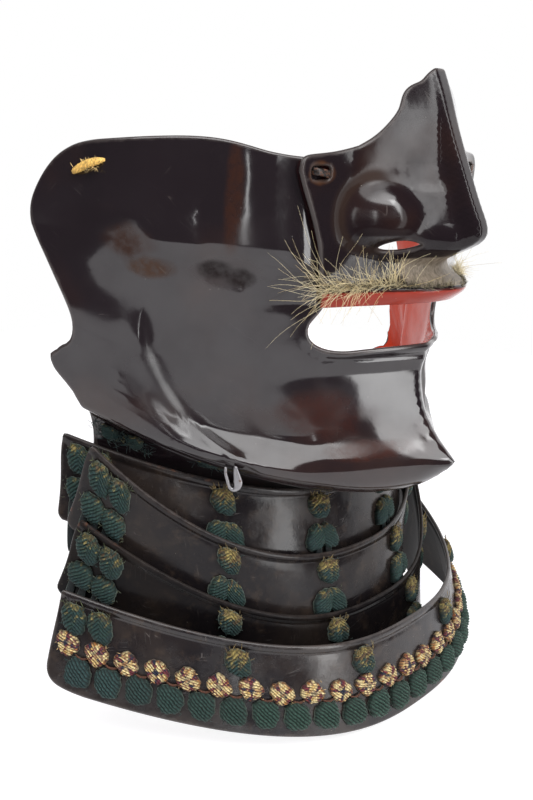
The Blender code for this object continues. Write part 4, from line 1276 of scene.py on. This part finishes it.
def lame_lacquer(name, gloss, depth, inside=False):
    """Satin black-brown lacquer, scuffed, with rubbed copper-brown edges; depth scales its colour down, which
    is painted shade on the lames tucked under the plate above.
    """
    finish = Finish(name, 0.6 if inside else 0.25, 1.2 if inside else 1.5, Specular_IOR_Level=gloss)
    place = finish.field("place")
    cloud = finish.ramp(finish.noise(40.0, 4.0, 0.6), 0.40, 0.70)
    finish.colour = finish.mix(cloud, (0.0110, 0.0090, 0.0100), (0.027, 0.020, 0.017))
    grime = finish.ramp(finish.noise(190.0, 5.0, 0.7), 0.50, 0.72)
    finish.over(finish.times(grime, 0.5), (0.055, 0.038, 0.028))
    edge = finish.times(finish.noise(210.0, 4.0, 0.65), 3.0, finish.part(place, 2))
    worn = finish.ramp(edge, 0.6, 2.3, 1.0, 0.0)
    finish.over(finish.times(worn, 0.45), (0.085, 0.070, 0.064))
    rare = finish.ramp(finish.noise(45.0), 0.56, 0.68)
    chipped = finish.ramp(finish.noise(330.0, 3.0), 0.52, 0.66)
    finish.over(finish.times(worn, finish.times(chipped, rare)), (0.24, 0.095, 0.050))
    lines = finish.most(finish.scratches(place, 0.42, 0.014, 2), finish.scratches(place, 0.5, 0.012, 4))
    finish.over(finish.times(lines, 0.5), (0.13, 0.11, 0.10))
    specks = finish.dust(place, 0.075)
    finish.over(specks, (0.38, 0.33, 0.27))
    # painted shade: the whole colour is scaled down by depth
    finish.colour = finish.scaled(finish.colour, (depth, depth, depth))
    rough = finish.ramp(finish.noise(75.0, 5.0, 0.65), 0.35, 0.7, 0.13, 0.36)
    rough = None if inside else finish.times(finish.most(lines, worn), 0.15, rough)
    waves, fine = finish.noise(48.0), finish.noise(520.0, 4.0, 0.6)
    return finish.done(rough, (waves, 0.0005), (fine, 0.00004), (lines, -0.00003), (specks, 0.00005))


def thread(name, roughness=0.75, sheen=0.28, glow=(0.5, 0.62, 0.52)):
    """Silk braid: the piece's own tint, broken up by its threads."""
    finish = Finish(name, roughness, 1.45, Sheen_Weight=sheen, Sheen_Roughness=0.4, Sheen_Tint=(*glow, 1.0))
    fine = finish.noise(2600.0, 2.0, 0.6)
    gain = finish.ramp(fine, 0.30, 0.72, 0.55, 1.45)
    finish.colour = finish.scaled(finish.field("tint", "Color"), finish.grey(gain))
    return finish.done(finish.ramp(fine, 0.2, 0.8, roughness - 0.15, roughness + 0.15), (fine, 0.00012))


def bristle(name):
    """Stiff hair: the piece's own tint, streaked."""
    finish = Finish(name, 0.42)
    streak = finish.noise(1500.0)
    gain = finish.ramp(streak, 0.3, 0.7, 0.75, 1.2)
    finish.colour = finish.scaled(finish.field("tint", "Color"), finish.grey(gain))
    return finish.done(finish.ramp(streak, 0.3, 0.7, 0.35, 0.55))


def iron(name, bright, rust):
    """Old iron: bright where it rubs, with brown rust in patches."""
    finish = Finish(name, 0.4)
    patch = finish.ramp(finish.noise(600.0, 5.0, 0.7), 0.62 - 0.3 * rust, 0.72 - 0.2 * rust)
    finish.colour = finish.mix(finish.noise(1200.0, 3.0), tuple(0.7 * c for c in bright), bright)
    finish.over(patch, (0.10, 0.035, 0.014))
    finish.link("Metallic", finish.ramp(patch, 0.0, 1.0, 0.9, 0.1))
    return finish.done(finish.ramp(patch, 0.0, 1.0, 0.32, 0.75), (finish.noise(1500.0, 4.0, 0.65), 0.00008))


# ---------------------------------------------------------------- the object


# Patches of the lacquer, each an oval: a, b, half width, half height, strength, and a colour. Most are worn
# patches; the two near-black ones on the right cheek are a painted dark reflection in the dent there.
BLOTS_AND_PAINTED_REFLECTION = (
    (-90.5, 63.5, 7.5, 3.6, 0.95, (0.040, 0.016, 0.006)),
    (-97, 71, 4.5, 6.5, 0.7, (0.030, 0.012, 0.007)),
    (-97, 71, 9.0, 5.0, 0.5, (0.034, 0.014, 0.008)),
    (-66, 87, 3.2, 17.0, 0.55, (0.048, 0.017, 0.008)),
    # painted reflection: these two near-black ovals along the dent of the right cheek darken its colour and cut
    # its shine
    (-71.0, 64.4, 5.6, 3.2, 1.2, (0.012, 0.008, 0.008)),
    (-63.5, 62.4, 5.2, 3.0, 1.2, (0.012, 0.008, 0.008)),
    (9.5, 18, 7.0, 24.0, 0.95, (0.020, 0.014, 0.012)),
    (-36, 16, 15.0, 8.0, 0.7, (0.038, 0.012, 0.009)),
    (-24, 5, 15.0, 3.0, 0.7, (0.050, 0.016, 0.011)),
    (86, 58, 8.0, 5.0, 0.7, (0.045, 0.016, 0.007)),
    (62, 84, 5.0, 12.0, 0.6, (0.040, 0.016, 0.008)),
)
RUST = [(side * SLOT[0], SLOT[1], 4.6, 3.4, 0.95, (0.10, 0.040, 0.014)) for side in (-1, 1)]
# Patches where it has lost its polish: an oval as above, and how much rougher it is.
DULL = (
    (-40, 18, 17.0, 10.0, 0.10), (-62, 12, 14.0, 6.0, 0.12), (38, 18, 15.0, 10.0, 0.2),
    (9.5, 18, 7.0, 24.0, 0.5), (-90, 15, 14.0, 18.0, 0.2), (90, 15, 14.0, 18.0, 0.2),
    (-26, 6, 9.0, 3.0, 0.2), (-67, 63.5, 13.0, 5.0, 0.25), (67, 63.5, 13.0, 5.0, 0.25),
)  # fmt: skip
# The shine of each lame and how dark it is. The darkness is painted shade: lames 1 to 3 sit under the plate
# above, lame 3 most deeply, and are darkened copies of the same lacquer.
LAME_SHINE_AND_SHADE = ((1, 0.33, 0.9), (2, 0.23, 0.8), (3, 0.08, 0.45), (4, 0.54, 1.0))


def make_shells():
    """The mask, the nose piece and the four lames."""
    red = red_lacquer("red_urushi")
    settle(mask_body([lacquer("black_urushi", BLOTS_AND_PAINTED_REFLECTION, DULL), red]), "mask_lacquer", "mask_body")
    settle(nose_piece([lacquer("nose_urushi", RUST, nose=True), red]), "nose_lacquer", "nose_piece")
    matt = lame_lacquer("matt_urushi", 0.5, 0.6, inside=True)
    for number, gloss, depth in LAME_SHINE_AND_SHADE:
        satin = lame_lacquer(f"satin_urushi_{number}", gloss, depth)
        settle(throat_lame(number, [satin, matt]), "lame_lacquer", f"throat_lame_{number}")


def make_fittings():
    """The whiskers, the small metal, the lacing and the hem."""
    green, mixed = thread("green_silk"), thread("mixed_silk", sheen=0.15, glow=(1.0, 0.9, 0.7))
    gold, straw = thread("gold_silk", 0.6, 0.2, (1.0, 0.85, 0.5)), bristle("straw_bristle")
    dark_iron = iron("rusty_iron", (0.055, 0.050, 0.048), 0.5)
    grey_iron = iron("grey_iron", (0.34, 0.335, 0.345), 0.25)
    seed = 100
    for side in (-1, 1):
        name = SIDE_NAMES[side]
        settle(hairs(side, straw, 7 + side), "bristle", f"moustache_{name}")
        settle(nose_peg(side, dark_iron), "iron", f"nose_peg_{name}")
        settle(cord_hook(side, grey_iron), "iron", f"cord_hook_{name}")
        settle(cheek_cord(side, gold), "gold_cord", f"cheek_cord_{name}")
        for column in COLUMNS:
            settle(neck_lacing(column, side, green, seed), "green_braid", f"lacing_0_{column.name}_{name}")
            for number in (1, 2, 3, 4):
                piece = lacing(number, column, side, green, seed + 10 * number)
                settle(piece, "green_braid", f"lacing_{number}_{column.name}_{name}")
            seed += 100
    settle(hem_rosettes(mixed), "mixed_braid", "hem_rosettes")
    settle(hem_braid(green), "green_braid", "hem_braid")


# ---------------------------------------------------------------- studio

CENTRE = (CAD_BOX[0] + CAD_BOX[1]) / 2
FLOOR = CAD_BOX[0].z - 0.0002
TABLE_LOW, TABLE_HIGH = np.array([-0.66, -0.21]), np.array([0.60, 0.75])
Box = namedtuple("Box", "name azimuth elevation distance width height radiance level")
BOXES = (
    Box("right_box", 1.3, 0, 1.0, 0.295, 1.75, 6.0, 0.27),
    Box("strip_box", 43.5, 0, 1.0, 0.032, 0.62, 6.5, -0.02),
    Box("top_box", 50, 58, 1.0, 1.4, 0.75, 4.5, None),
    Box("side_box", -80, 8, 1.2, 1.6, 1.5, 1.5, None),
    Box("back_box", -150, 8, 1.2, 1.7, 1.5, 1.3, None),
)
CAMERA_PLACE = (-0.2765, -0.1792, 0.0875)
# The camera's right, its up and the way it looks.
CAMERA_AXES = (0.66814, -0.74404, 0), (0.18317, 0.16448, 0.96922), (0.72114, 0.64757, -0.24618)


def heading(azimuth, elevation):
    """The direction from the object towards a place round it; azimuth 0 is in front of the face."""
    a, e = np.radians(azimuth), np.radians(elevation)
    return Vector((-np.sin(a) * np.cos(e), -np.cos(a) * np.cos(e), np.sin(e)))


def table_top():
    """A pale table top with soft rolled edges."""
    middle, half = (TABLE_LOW + TABLE_HIGH) / 2, (TABLE_HIGH - TABLE_LOW) / 2
    count, corner_radius = 96, 0.04
    corner = circle(count)
    rings = ((0.050, 0.0), (0.012, 0.0), (0.004, -0.003), (0.0, -0.012))
    points, faces = [], [tuple(range(count))]
    for inward, drop in rings:
        square = np.sign(corner) * (half - corner_radius) + corner * (corner_radius - inward)
        points += [(middle[0] + x, middle[1] + y, FLOOR + drop) for x, y in square]
    for first in range(0, (len(rings) - 1) * count, count):
        for k in range(count):
            n = (k + 1) % count
            faces.append((first + k, first + count + k, first + count + n, first + n))
    mesh = bpy.data.meshes.new("table_top")
    mesh.from_pydata(points, [], faces)
    finish = Finish("pale_table", 0.6, Emission_Color=(1, 1, 1, 1), Emission_Strength=0.8)
    finish.colour = finish.mix(finish.noise(18.0, 3.0), (0.33, 0.32, 0.34), (0.38, 0.37, 0.39))
    mesh.materials.append(finish.done(None))
    obj = bpy.data.objects.new("table_top", mesh)
    bpy.context.scene.collection.objects.link(obj)


def softbox(box):
    """A soft light facing the object. With a level it stands upright, its middle at that height."""
    data = bpy.data.lights.new(box.name, "AREA")
    data.shape = "RECTANGLE"
    data.size, data.size_y = box.width, box.height
    data.energy = box.radiance * np.pi * box.width * box.height
    obj = bpy.data.objects.new(box.name, data)
    way = heading(box.azimuth, box.elevation)
    obj.location = CENTRE + way * box.distance
    obj.rotation_euler = (-way).to_track_quat("-Z", "Y").to_euler()
    if box.level is not None:
        obj.location.z = box.level
    obj.visible_camera = False
    bpy.context.scene.collection.objects.link(obj)


def backdrop():
    """A world that is white to the camera and dim to the object."""
    world = bpy.data.worlds.new("studio")
    bpy.context.scene.world = world
    world.use_nodes = True
    tree = world.node_tree
    tree.nodes.clear()
    path, mix, out = (tree.nodes.new("ShaderNode" + kind) for kind in ("LightPath", "MixShader", "OutputWorld"))
    tree.links.new(path.outputs["Is Camera Ray"], mix.inputs[0])
    for socket, colour in ((1, (0.11, 0.105, 0.12, 1)), (2, (1, 1, 1, 1))):
        shade = tree.nodes.new("ShaderNodeBackground")
        shade.inputs["Color"].default_value = colour
        tree.links.new(shade.outputs[0], mix.inputs[socket])
    tree.links.new(mix.outputs[0], out.inputs["Surface"])
    bpy.context.scene.view_settings.view_transform = "Standard"


def camera():
    """The camera, to the right of the face and a little above it."""
    data = bpy.data.cameras.new("camera")
    data.lens = 45.0
    data.sensor_width = 36.0
    data.clip_start, data.clip_end = 0.01, 20.0
    obj = bpy.data.objects.new("camera", data)
    right, up, ahead = (Vector(axis) for axis in CAMERA_AXES)
    obj.matrix_world = Matrix((right, up, -ahead)).transposed().to_4x4()
    obj.location = CAMERA_PLACE
    bpy.context.scene.collection.objects.link(obj)
    bpy.context.scene.camera = obj


make_shells()
make_fittings()
table_top()
for softbox_row in BOXES:
    softbox(softbox_row)
backdrop()
camera()
